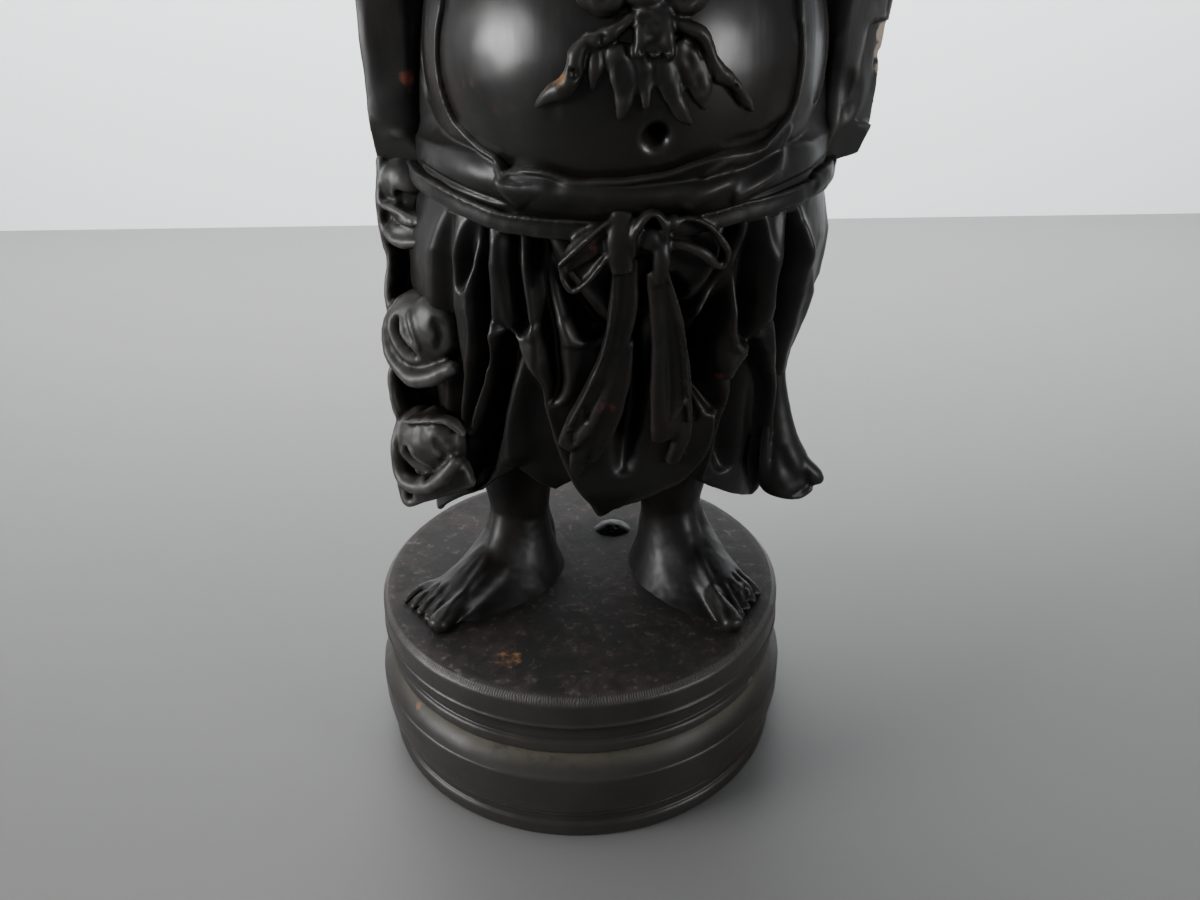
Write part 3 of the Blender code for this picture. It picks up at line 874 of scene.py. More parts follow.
@dataclass(frozen=True)
class WaxedWood:
    """Hardwood stained near-black and waxed, rubbed on its edges and dusty in its hollows."""

    part: Part
    stain: Row = (0.0048, 0.0044, 0.0040)
    warm: Row = (0.0130, 0.0078, 0.0056)
    worn: Row = (0.0330, 0.0300, 0.0270)
    dust: Row = (0.0420, 0.0380, 0.0320)
    red: Row = (0.1500, 0.0420, 0.0300)
    pale: Row = (0.3300, 0.2700, 0.2200)
    ochre: Row = (0.2600, 0.1300, 0.0450)
    roughness: float = 0.46
    gloss: float = 0.25
    black: Row = (0.0060, 0.0055, 0.0050)
    crusted: Row = (0.030, 0.021, 0.018)
    speck: Row = (0.100, 0.092, 0.082)
    grimy: Row = (0.075, 0.070, 0.050)
    nicked: Row = (0.110, 0.104, 0.096)
    ticks: float = 3300.0
    dusty: float = 0.18
    rubbed: float = 0.30
    tooling: float = 0.35

    def material(self) -> bpy.types.Material:
        """Builds the finish.

        Returns:
            The material.
        """
        material = bpy.data.materials.new(f"waxed_wood_{self.part.value}")
        graph = Graph(material)
        place = graph.add("ShaderNodeTexCoord", {}, {}, "Object")
        cloud = graph.grain(place, 28.0, 3.0)
        fleck = graph.grain(place, 420.0, 4.0, 0.65)
        fibre = graph.grain(place * (1.0, 1.0, 0.16), 900.0, 3.0, 0.6)
        hollow = graph.mask("hollow")
        proud = graph.mask("proud")
        colour = graph.mix(self.stain, self.warm, cloud.between(0.46, 0.72) * 0.55)
        rubbed = (proud + (fleck - 0.5) * 0.5).between(0.25, 0.95) * self.rubbed
        colour = graph.mix(colour, self.worn, rubbed)
        dusty = (hollow + (fleck - 0.5) * 0.6).between(0.45, 1.15) * self.dusty
        colour = graph.mix(colour, self.dust, dusty)
        rough = self.roughness + (cloud - 0.5) * 0.16 + (fibre - 0.5) * 0.10 + dusty * 0.35
        height = fibre * 0.35 + fleck * 0.30
        if self.part is Part.PLINTH:
            colour, rough, height = self.weathered(graph, place, colour, rough, height, fleck)
        for name, tint in (("red", self.red), ("pale", self.pale), ("ochre", self.ochre)):
            spot = graph.mask(name)
            patch = (spot + (fleck - 0.5) * 1.1).between(0.35, 0.85) * spot.between(0.0, 0.35)
            colour = graph.mix(colour, tint, patch)
            rough = rough + patch * 0.18
        bump = graph.add("ShaderNodeBump", {}, {"Strength": self.tooling, "Distance": 0.00022, "Height": height},
                         "Normal")
        shader = graph.add("ShaderNodeBsdfPrincipled", {}, {
            "Base Color": colour, "Roughness": rough, "Normal": bump, "Metallic": 0.0,
            "Specular IOR Level": self.gloss, "Coat Weight": 0.05, "Coat Roughness": 0.30})
        graph.add("ShaderNodeOutputMaterial", {}, {"Surface": shader})
        return material

    def weathered(self, graph: Graph, place: Shade, colour: Shade, rough: Shade, height: Shade,
                  fleck: Shade) -> tuple[Shade, Shade, Shade]:
        """Adds the plinth's rough, dusty top, the grime in its creases and its hatched rim.

        Args:
            graph: the nodes.
            place: the place on the plinth.
            colour: the colour so far.
            rough: the roughness so far.
            height: the bump so far.
            fleck: fine noise.

        Returns:
            The new colour, roughness and bump.
        """
        top = graph.mask("top")
        grime = graph.mask("grime")
        rim = graph.mask("rim")
        crust = graph.grain(place, 170.0, 6.0, 0.7, 0.4)
        stain = graph.grain(place, 60.0, 3.0, 0.6)
        colour = graph.mix(colour, self.black, top * 0.8)
        brown = top * (crust * 0.6 + stain * 0.4).between(0.44, 0.62)
        colour = graph.mix(colour, self.crusted, brown * 0.7)
        specks = top * (fleck * 0.55 + crust * 0.45).between(0.53, 0.66)
        colour = graph.mix(colour, self.speck, specks * 0.6)
        settled = grime * (crust * 0.5 + fleck * 0.5 + 0.12).between(0.40, 0.66)
        colour = graph.mix(colour, self.grimy, settled * 0.75)
        angle = graph.add("ShaderNodeTexGradient", {"gradient_type": "RADIAL"}, {"Vector": place}, "Fac")
        ticks = graph.add("ShaderNodeMath", {"operation": "SINE"}, {0: angle * self.ticks + fleck * 16.0 + crust * 9.0})
        nicks = rim * (ticks * 0.3 + crust * 0.6 + stain * 0.9).between(0.55, 1.15)
        colour = graph.mix(colour, self.nicked, nicks * 0.6)
        rough = rough + top * 0.36 + settled * 0.2 - nicks * 0.05
        return colour, rough, height + top * crust * 3.0 + nicks * 0.8


@dataclass
class Carving:
    """A carved piece of the figure: forms fused into one skin, then marked and dressed."""

    name: str = ""
    grain: float = 0.0006
    softening: int = 2
    shells: int = 1
    waves: Rows = ((1.6, 0.045), (0.5, 0.012))
    facets: tuple[Facet, ...] = ()
    spots: tuple[Spot, ...] = ()

    def shape(self, forms: Forms) -> None:
        """Adds the piece's forms."""
        raise NotImplementedError

    def marks(self) -> list[Stroke]:
        """The strokes cut into the piece's skin."""
        return []

    def skin(self) -> bpy.types.Object:
        """Fuses the piece's forms.

        Returns:
            The bare piece.
        """
        forms = Forms()
        self.shape(forms)
        return fused(self.name, forms.mesh(self.name), self.grain, self.softening, self.shells)

    def build(self, finish: bpy.types.Material) -> bpy.types.Object:
        """Builds, marks and dresses the piece.

        Args:
            finish: its material.

        Returns:
            The piece.
        """
        piece = self.skin()
        sculpt(piece.data, self.facets, self.marks(), self.waves)
        dress(piece, finish, self.spots)
        return piece


@dataclass
class Skirt(Carving):
    """The pleated skirt, from the belt to its wavy hem."""

    name: str = "skirt"
    top: float = 20.8
    rows: int = 138
    front_columns: int = 416
    back_columns: int = 120
    front_span: float = 88.0
    hem: Rows = (
        (-180, 5.2), (-110, 4.6), (-80, 4.2), (-57, 5.7), (-40, 6.8), (-32, 7.8), (-25, 8.6), (-18, 7.8),
        (-12, 7.3), (-7.4, 7.9), (-3.2, 6.9), (0, 5.8), (2.2, 6.2), (7.2, 6.7), (12.8, 7.1), (20.3, 7.6),
        (25, 7.9), (29.5, 7.4), (37.4, 6.8), (48.4, 6.1), (62, 5.4), (79, 4.7), (110, 4.9), (180, 5.2),
    )
    pleats: tuple[Stroke, ...] = (
        Stroke(((-37, 19.5), (-38.6, 18.2), (-40, 16.7)), 0.34, 0.8, (0.7, 0.35), 0.1),
        Stroke(((-34.6, 19.6), (-33.5, 18), (-32.8, 15.8), (-33.9, 14.5), (-37, 13.2), (-39.5, 11.8),
                (-42.2, 10.1)), 0.27, 0.85, (0.1, 0.3), 0.25),
        Stroke(((-33, 13.6), (-38, 11.6), (-40.7, 10.1)), 0.34, -0.3, (0.5, 0.1)),
        Stroke(((-25.6, 19.6), (-23.2, 17.5), (-21.6, 15.8), (-22.5, 15.2)), 0.24, 0.6, (0.1, 0.3), 0.25),
        Stroke(((-20.9, 19.6), (-16.8, 17.2), (-14.2, 15.6), (-12.9, 13.3), (-13.8, 12.3)), 0.28, 0.65,
               (0.1, 0.3), 0.25),
        Stroke(((-19.5, 19.5), (-13.2, 17.7), (-9.6, 16.7), (-5.7, 15.9), (-2.5, 15.2)), 0.36, 1.0,
               (0.4, 0.12), 0.25),
        Stroke(((-25, 15.2), (-27.5, 14.2), (-31.2, 12.6), (-35.3, 10.4), (-38.9, 8.4), (-45.1, 6.6)), 0.5, 1.0,
               (0.4, 0.1), 0.1),
        Stroke(((-24.5, 14.3), (-26.2, 12.7), (-26.7, 10.6), (-25.3, 8.6)), 0.5, -0.35, (0.3, 0.1)),
        Stroke(((-47, 19.5), (-48, 16), (-51, 12), (-54, 7)), 0.45, 0.5, (0.2, 0.2), 0.25),
        Stroke(((2.5, 18.4), (2.6, 15), (4.5, 12), (4.0, 8.6)), 0.42, 0.9, (0.2, 0.2)),
        Stroke(((7.5, 17.8), (13, 15.8), (18.4, 13.5), (22, 11)), 0.3, 0.7, (0.2, 0.2)),
        Stroke(((22.7, 19.6), (20.9, 18.2), (18.6, 17.3), (15.5, 16.7), (11.7, 15.9)), 0.27, 0.8,
               (0.1, 0.2), 0.25),
        Stroke(((25.3, 19.6), (24.2, 17.8), (22.5, 16.9), (20.2, 16), (18.9, 15.1), (18.7, 14.2), (20.1, 13.4),
                (25.2, 12.3), (29.4, 11.4)), 0.42, 1.05, (0.35, 0.25), 0.2),
        Stroke(((29.1, 19.6), (28.9, 17.9), (29.6, 16.2), (32.8, 14.4)), 0.34, 0.95, (0.3, 0.15), 0.2),
        Stroke(((31.5, 16), (30.3, 14.5), (27.5, 13.1)), 0.55, -0.35, (0.4, 0.05)),
        Stroke(((35.2, 14.0), (37.5, 12.5), (39.5, 10.5), (42, 7.5)), 0.62, 0.75, (0.25, 0.1)),
        Stroke(((42.8, 19.6), (42.3, 17.8), (42.1, 16.7), (46.8, 14.9), (56.3, 12.5), (62.6, 10.2), (66, 8.6),
                (70.8, 7.1)), 0.38, 1.05, (0.15, 0.1), 0.25),
        Stroke(((46.4, 19), (52.7, 16.8), (60.5, 14.8), (70.4, 11.9), (74.8, 9.6), (72.8, 8.3)), 0.55, -0.4),
        Stroke(((80, 19.6), (83, 15), (86, 10), (84, 5.5)), 0.5, 0.6, (0.2, 0.2), 0.3),
    )
    edges: tuple[ClothEdge, ...] = (
        ClothEdge(((-0.1, 5.6), (-3.2, 6.9), (-8, 8.3), (-11.8, 9.7), (-15.8, 11.9), (-17.2, 13.3), (-21.1, 14.2),
                   (-24.8, 15.4)), 0.55, 2.4),
        ClothEdge(((-25.2, 15.4), (-27.6, 14.9), (-29.9, 14.1), (-33.2, 12.8), (-37, 11.0), (-41, 9.6)), 0.4, 1.2),
        ClothEdge(((29.4, 11.4), (28.5, 10), (25.2, 8.7), (20.3, 7.8), (12.8, 7.3), (7.2, 6.9), (2.2, 6.2)), 0.5,
                  2.0),
        ClothEdge(((76, 4.6), (60.2, 7.1), (55.9, 9.4), (49.8, 11.8), (41.2, 13.6), (34.8, 14.8)), 0.45, 1.5),
        ClothEdge(((34.9, 14.6), (34.6, 13.4), (33.6, 11.8), (33, 9.6), (31.6, 7.4)), 0.4, 1.2),
    )
    spots: tuple[Spot, ...] = (Spot("red", (5.4, -6.9, 13.1), 0.34, 0.9), Spot("red", (4.4, -5.6, 9.6), 0.4, 0.5))

    def back_pleats(self) -> list[Stroke]:
        """Long pleats that fan out down the back.

        Returns:
            The strokes, in degrees and height.
        """
        made = []
        for side in (-1, 1):
            for number, turn in enumerate((98, 112, 127, 141, 155, 169)):
                low = 5.0 + 0.6 * (number % 2)
                sway = 2.5 * math.sin(1.7 * number + side)
                made.append(Stroke(((side * turn, 19.8), (side * (turn + sway), 15.0), (side * (turn + 3), 10.0),
                                    (side * (turn + sway + 2), low)), 0.34 + 0.12 * (number % 3), 0.75,
                                   (0.12, 0.15), 0.35))
        return made

    def skin(self) -> bpy.types.Object:
        """Lays the skirt out as one fine net round the body.

        Returns:
            The bare piece.
        """
        degrees = columns(self.front_span, self.front_columns, self.back_columns)
        turn, height = np.asarray(self.hem, float).T
        hem = np.interp(degrees, turn, height)
        share = np.linspace(0, 1, self.rows)[:, None]
        heights = self.top + (hem - self.top) * share
        turns = np.broadcast_to(degrees, heights.shape)
        swell = Sheet(0.13).swell((*self.pleats, *self.back_pleats(), *self.edges), turns, heights)
        rings = list(SKIRT.at(turns, heights, swell))
        for inward, rise in ((0.04, -0.06), (0.16, -0.1), (0.28, -0.04), (0.36, 0.12), (0.6, 0.9), (1.2, 2.2),
                             (3.5, 3.0), (6.0, 3.4)):
            rings.append(SKIRT.at(degrees, hem + rise, swell[-1] * max(0, 1 - inward) - inward))
        return net(self.name, np.array(rings))


@dataclass
class Belly(Carving):
    """The bare round belly, with its navel."""

    name: str = "belly"
    rows: int = 150
    front_columns: int = 200
    back_columns: int = 34
    front_span: float = 105.0
    navel: Row = (2.62, -9.75, 22.45)
    waves: Rows = ((2.6, 0.05), (0.8, 0.012))
    spots: tuple[Spot, ...] = (
        Spot("red", (7.6, -7.4, 26.6), 1.0, 0.36), Spot("red", (-3.3, -8.0, 24.0), 0.9, 0.32),
        Spot("red", (-2.3, -8.9, 23.0), 0.9, 0.3), Spot("ochre", (-1.4, -9.3, 23.9), 0.5, 0.28))

    def marks(self) -> list[Stroke]:
        """The navel, its rim, and small knocks."""
        return [
            Stroke((self.navel,), 0.31, 1.1),
            Stroke(((1.75, -10.1, 22.95), (2.6, -10.1, 22.85), (3.3, -10.0, 22.95)), 0.13, 0.07),
            Stroke(((-0.9, -9.8, 23.2), (-0.4, -9.9, 23.15)), 0.3, 0.08),
            Stroke(((3.1, -9.6, 21.9), (3.4, -9.6, 21.9)), 0.12, 0.1),
            Stroke(((4.6, -9.1, 22.2), (6.0, -8.4, 22.35), (7.2, -7.4, 22.8)), 0.14, 0.06),
            Stroke(((-3.4, -8.3, 25.0), (-3.5, -8.2, 24.6)), 0.1, 0.06),
        ]

    def skin(self) -> bpy.types.Object:
        """Lays the belly out as one fine net.

        Returns:
            The bare piece.
        """
        degrees = columns(self.front_span, self.front_columns, self.back_columns)
        level = np.sin(np.radians(np.linspace(-86, 86, self.rows)))
        heights = BELLY.centre[2] + BELLY.radii[2] * level
        return net(self.name, np.array([BELLY.at(degrees, np.full_like(degrees, height)) for height in heights]))


@dataclass
class Robe(Carving):
    """The robe: one net over the back, the sides and the waist, open over the belly and chest."""

    name: str = "robe"
    low: float = 19.4
    high: float = 36.9
    front_columns: int = 290
    back_columns: int = 104
    front_span: float = 68.0
    lip: float = 0.3
    opening: Rows = (
        (-36, 36.9), (-43, 34), (-47, 32), (-47.5, 30), (-44.2, 28), (-41.8, 26.26), (-43.0, 25.28), (-43.8, 24.28),
        (-43.2, 23.45), (-41.5, 22.74), (-38.7, 22.4), (-34.5, 21.98), (-29.3, 21.68), (-27.2, 21.3),
        (-25.4, 21.38), (-18.2, 21.4), (-11.5, 21.18), (-2.8, 21.2), (1.9, 21.3), (6.6, 21.43), (11.6, 21.7),
        (17.6, 21.93), (22.7, 21.98), (27.6, 22.12), (32.0, 22.61), (34.4, 23.07), (34.7, 24.16), (34.2, 25.18),
        (33.5, 25.9), (36, 28), (42, 30), (45, 32), (42, 34), (36, 36.9),
    )
    folds: tuple[Stroke | ClothEdge, ...] = (
        Stroke(((27.8, 22.15), (25.2, 21.9), (22.5, 21.69), (18.1, 21.62), (14.9, 21.4), (13.1, 21.1)), 0.17,
               -0.22, (0.1, 0.2)),
        Stroke(((36.4, 22.5), (34.4, 21.8), (30.9, 21.14), (26.6, 20.83), (22.6, 20.47), (20.5, 20.3)), 0.26,
               -0.2, (0.2, 0.1)),
        Stroke(((20.8, 21.2), (17.2, 20.9), (13.3, 20.55), (10.1, 20.07)), 0.36, -0.16, (0.2, 0.1)),
        Stroke(((-15.4, 20.93),), 0.26, 0.06, (0, 0), 0.15),
        Stroke(((-62.7, 20.85), (-45.4, 20.6), (-36.1, 20.4), (-27.6, 20.15)), 0.1, 0.16, (0.1, 0.2)),
        Stroke(((66, 20.95), (48.5, 20.75), (39.8, 20.6), (31.7, 20.45), (24, 20.25)), 0.1, 0.16, (0.1, 0.2)),
        ClothEdge(((-25.3, 19.9), (-27.6, 20.38), (-29.2, 20.85), (-28.4, 21.2)), 0.14, 1.1, 0.03),
        Stroke(((-58, 23.2), (-59.5, 24.4), (-62, 27), (-66, 31)), 0.6, 2.1, (0.45, 0.1)),
        Stroke(((51.5, 23.0), (50.5, 24.2), (51, 27), (57, 31)), 0.66, 2.1, (0.45, 0.1)),
    )
    spots: tuple[Spot, ...] = (Spot("red", (-4.6, -6.2, 22.4), 0.8, 0.3), Spot("ochre", (0.0, -9.5, 20.9), 1.2, 0.25))

    def back_folds(self) -> list[Stroke]:
        """Folds that fall from the shoulders down the back.

        Returns:
            The strokes, in degrees and height.
        """
        made = []
        for side in (-1, 1):
            for number, (top, low) in enumerate(((172, 176), (152, 164), (132, 150), (114, 134), (98, 116))):
                middle = 0.5 * (top + low) + 3 * (-1) ** number
                made.append(Stroke(((side * top, 35.5 - 0.8 * number), (side * middle, 28.5), (side * low, 20.8)),
                                   0.34 + 0.1 * (number % 2), 0.5, (0.15, 0.1), 0.45))
        return made

    def skin(self) -> bpy.types.Object:
        """Lays the robe out as one fine net.

        Returns:
            The bare piece.
        """
        degrees = columns(self.front_span, self.front_columns, self.back_columns)
        levels = np.concatenate([np.linspace(self.low, 27.0, 125, endpoint=False), np.linspace(27.0, self.high, 50)])
        heights = np.broadcast_to(levels[:, None], (len(levels), len(degrees)))
        turns = np.broadcast_to(degrees, heights.shape)
        angle = np.radians(turns)
        bulge = 1.05 * np.exp(-((turns / 38) ** 2)) + 0.1
        bulge = bulge * np.exp(-(((heights - 20.6 - 0.012 * np.abs(turns)) / 0.9) ** 2))
        waist = SKIRT.reach(angle, heights, bulge - 0.9 * np.clip(heights - 21.7, 0, 2.5))
        torso = TORSO.reach(angle, heights)
        belly = BELLY.reach(angle, heights)
        lip = self.lip - 0.2 * np.clip((np.abs(turns) - 24) / 12, 0, 1)
        share = np.clip(0.5 + (torso - waist) / 1.4, 0, 1)
        blended = waist + (torso - waist) * share + 0.35 * share * (1 - share)
        outer = np.maximum(blended, BELLY.reach(angle, heights, lip))
        sheet = Sheet(0.15)
        outer = outer + sheet.swell((*self.folds, *self.back_folds()), turns, heights)
        line = spline(self.opening, 5 * len(self.opening)) * (sheet.per_degree, 1)
        gap, _, side = line_gap(sheet.place(turns, heights), line)
        gap = (-gap * side).reshape(heights.shape)
        open_part = (np.abs(turns) < 56) & (heights > 20.9)
        gap = np.where(open_part, gap, np.maximum(gap, 0.3))
        outer = outer + 0.1 * np.exp(-(((gap - 0.12) / 0.1) ** 2))
        pit = 1.3 * np.exp(-(((turns - 4.0) / 14) ** 2) - ((heights - 22.4) / 1.1) ** 2)
        inner = np.minimum(outer, np.maximum(torso - 0.3, belly - 0.14 - pit))
        reach = inner + (outer - inner) * np.clip((gap + 0.07) / 0.12, 0, 1)
        return net(self.name, np.stack([lean(heights) + reach * np.sin(angle), -reach * np.cos(angle), heights], -1))


@dataclass
class Chest(Carving):
    """The breasts, the neck and the robe's collar."""

    name: str = "chest_and_collar"
    grain: float = 0.0013
    softening: int = 3

    def shape(self, forms: Forms) -> None:
        """Breasts, neck and collar."""
        for side in (-1, 1):
            forms.ball((MIDDLE + side * 2.8, -3.6, 31.4), (3.4, 3.0, 2.7))
        forms.ball((1.85, -0.8, 36.6), (3.4, 3.4, 3.0))
        for side in (-1, 1):
            forms.strap((
                (MIDDLE, 3.2, 36.9, 1.0, 0.7), (MIDDLE + side * 3.1, 2.0, 36.8, 0.9, 0.7),
                (MIDDLE + side * 4.1, -1.4, 36.0, 0.9, 0.7), (MIDDLE + side * 3.4, -4.0, 34.9, 0.8, 0.55),
                (MIDDLE + side * 4.7, -4.8, 31.8, 0.8, 0.5), (MIDDLE + side * 5.9, -5.0, 29.0, 0.6, 0.4),
            ), steps=60, square=2.6)


@dataclass
class Belt(Carving):
    """The narrow belt, its knot and bow, and the two tails that hang over the skirt."""

    name: str = "belt_and_bow"
    grain: float = 0.00052
    softening: int = 1
    waves: Rows = ((0.9, 0.04), (0.35, 0.012))
    course: Rows = (
        (-180, 20.4), (-75, 20.4), (-54, 20.2), (-43, 19.95), (-34, 19.7), (-27, 19.5), (-15, 19.42), (0, 19.35),
        (15, 19.6), (24, 19.85), (33, 19.95), (50, 20.15), (75, 20.4), (180, 20.4),
    )
    spots: tuple[Spot, ...] = (Spot("red", (0.7, -9.2, 18.9), 0.4, 0.4), Spot("red", (1.0, -7.9, 12.4), 0.7, 0.4))

    def shape(self, forms: Forms) -> None:
        """Belt, knot, loops and tails."""
        band = partial(forms.strap_on, SKIRT)
        turns, heights = np.asarray(self.course, float).T
        turn = np.linspace(-180, 180, 121)
        height = np.interp(turn, turns, heights)
        flat = np.ones((121, 1))
        band(np.column_stack([turn, height, 0.2 * flat, 0.36 * flat, 0.24 * flat]), steps=360, square=4.0)
        band(np.column_stack([turn, height + 0.3, 0.4 * flat, 0.07 * flat, 0.1 * flat]), steps=360)
        band(((50, 20.3, 0.25, 0.34, 0.28), (58, 20.5, 0.3, 0.32, 0.28), (63, 20.75, 0.3, 0.14, 0.2)), square=3.0)
        self.knot(forms)
        self.tails(forms)

    @staticmethod
    def knot(forms: Forms) -> None:
        """The knot and the two loops of the bow.

        Args:
            forms: where the forms go.
        """
        band = partial(forms.strap_on, SKIRT)
        band((
            (-1.4, 20.0, 0.55, 0.42, 0.36), (-1.6, 19.2, 0.7, 0.44, 0.4), (-0.9, 18.2, 0.6, 0.42, 0.36),
        ), square=3.0)
        band((
            (0.3, 18.8, 0.7, 0.14, 0.3), (0.2, 19.5, 0.85, 0.15, 0.36), (2.2, 20.1, 0.9, 0.15, 0.36),
            (4.4, 19.8, 0.8, 0.15, 0.34), (5.2, 19.2, 0.7, 0.16, 0.3),
        ), steps=44)
        forms.ball(tuple(SKIRT.at(np.array(2.6), np.array(19.2), 0.7)), (0.5, 0.32, 0.42))
        band(((4.0, 19.2, 0.6, 0.26, 0.3), (4.8, 18.6, 0.7, 0.3, 0.36), (4.9, 17.7, 0.5, 0.26, 0.3)), square=2.6)
        band((
            (-2.0, 19.5, 0.45, 0.24, 0.2), (-5.0, 19.2, 0.55, 0.42, 0.18), (-8.3, 18.75, 0.6, 0.42, 0.16),
            (-11.2, 18.15, 0.5, 0.26, 0.14),
        ), steps=50, square=3.4)
        band((
            (-2.2, 19.95, 0.75, 0.09, 0.16), (-4.2, 19.7, 0.85, 0.09, 0.16), (-7.6, 19.1, 0.9, 0.09, 0.16),
            (-11.6, 18.35, 0.75, 0.1, 0.2),
        ), steps=50)
        band((
            (-11.4, 18.2, 0.6, 0.12, 0.3), (-10.6, 17.75, 0.6, 0.1, 0.3), (-8.6, 17.4, 0.7, 0.1, 0.25),
            (-5.6, 17.9, 0.75, 0.1, 0.25), (-2.4, 18.9, 0.7, 0.1, 0.25),
        ), steps=50)
        band((
            (-8.6, 18.0, 0.4, 0.3, 0.14), (-5.4, 18.4, 0.45, 0.3, 0.14), (-2.4, 18.9, 0.45, 0.22, 0.14),
        ), square=3.4)
        forms.ball(tuple(SKIRT.at(np.array(6.2), np.array(19.75), 0.85)), (0.3, 0.22, 0.26))
        band((
            (5.0, 19.5, 0.6, 0.1, 0.25), (8.2, 19.85, 0.75, 0.09, 0.22), (11.6, 19.75, 0.8, 0.09, 0.22),
            (15.0, 19.35, 0.75, 0.1, 0.25), (18.0, 18.7, 0.6, 0.12, 0.3), (18.1, 18.3, 0.55, 0.12, 0.3),
        ), steps=60)
        band((
            (4.8, 19.0, 0.6, 0.16, 0.2), (8.6, 18.95, 0.75, 0.18, 0.18), (12.6, 18.65, 0.8, 0.18, 0.18),
            (15.6, 18.2, 0.65, 0.16, 0.2), (17.6, 18.1, 0.5, 0.14, 0.25),
        ), steps=50, square=3.0)

    @staticmethod
    def tails(forms: Forms) -> None:
        """The two hanging tails, which end in ruffles.

        Args:
            forms: where the forms go.
        """
        band = partial(forms.strap_on, SKIRT)
        band((
            (-0.6, 18.4, 0.4, 0.5, 0.3), (-0.1, 16.6, 0.45, 0.5, 0.26), (-0.8, 14.8, 0.5, 0.46, 0.24),
            (-3.4, 12.9, 0.62, 0.52, 0.24), (-6.6, 11.3, 0.7, 0.55, 0.22), (-9.2, 10.3, 0.6, 0.36, 0.2),
        ), steps=60, square=4.0)
        band((
            (-1.9, 18.0, 0.6, 0.08, 0.2), (-1.7, 16.6, 0.68, 0.08, 0.2), (-2.4, 14.9, 0.72, 0.08, 0.2),
            (-5.0, 13.2, 0.85, 0.09, 0.2), (-8.2, 11.6, 0.9, 0.08, 0.18),
        ), steps=50)
        band((
            (0.9, 15.2, 0.45, 0.3, 0.24), (0.6, 13.2, 0.55, 0.38, 0.24), (-0.6, 11.2, 0.62, 0.38, 0.22),
            (-2.6, 9.6, 0.55, 0.22, 0.2),
        ), steps=40, square=3.4)
        band((
            (-3.0, 11.4, 0.45, 0.32, 0.24), (-5.6, 9.9, 0.55, 0.38, 0.24), (-6.6, 8.6, 0.45, 0.26, 0.2),
        ), square=3.4)
        band((
            (4.3, 18.0, 0.4, 0.36, 0.28), (6.6, 16.6, 0.45, 0.5, 0.24), (9.0, 14.9, 0.5, 0.6, 0.22),
            (11.4, 13.0, 0.62, 0.72, 0.22), (13.0, 11.4, 0.68, 0.8, 0.2), (13.4, 10.6, 0.62, 0.66, 0.18),
        ), steps=60, square=4.0)
        band((
            (6.2, 18.0, 0.6, 0.08, 0.2), (9.2, 16.6, 0.66, 0.08, 0.2), (12.4, 15.0, 0.74, 0.09, 0.2),
            (15.8, 13.1, 0.86, 0.09, 0.2), (17.8, 11.5, 0.88, 0.1, 0.18),
        ), steps=50)
        band(((17.0, 12.2, 0.4, 0.28, 0.24), (17.8, 10.6, 0.55, 0.38, 0.24), (16.6, 9.2, 0.5, 0.32, 0.2)), square=3.4)

    def marks(self) -> list[Stroke]:
        """Ruffles across the tails and nicks along the belt's edge."""
        def on(degrees: float, height: float) -> Row:
            """A place on the tails."""
            return tuple(SKIRT.at(np.array(degrees), np.array(height), 0.85))

        made = [
            Stroke((on(5.8, 17.6), on(8.0, 15.6), on(11.0, 13.4), on(12.6, 11.4)), 0.16, 0.14),
            Stroke((on(0.2, 18.0), on(0.6, 16.4), on(-0.4, 14.6)), 0.14, 0.12),
            Stroke((on(-1.6, 13.6), on(-4.8, 12.0), on(-7.6, 10.8)), 0.15, 0.16),
            Stroke((on(-5.6, 12.4), on(-4.6, 11.6)), 0.16, 0.16),
            Stroke((on(-8.0, 11.2), on(-7.0, 10.5)), 0.14, 0.16),
            Stroke((on(11.0, 11.2), on(14.0, 12.0), on(16.5, 12.6)), 0.16, -0.12),
        ]
        for number in range(26):
            turn = -62 + 5.1 * number + 1.7 * math.sin(3.1 * number)
            if abs(turn - 2) > 9:
                height = float(np.interp(turn, *np.asarray(self.course, float).T)) + 0.42
                made.append(Stroke((on(turn, height), on(turn + 0.7, height - 0.1)), 0.12, 0.09))
        return made


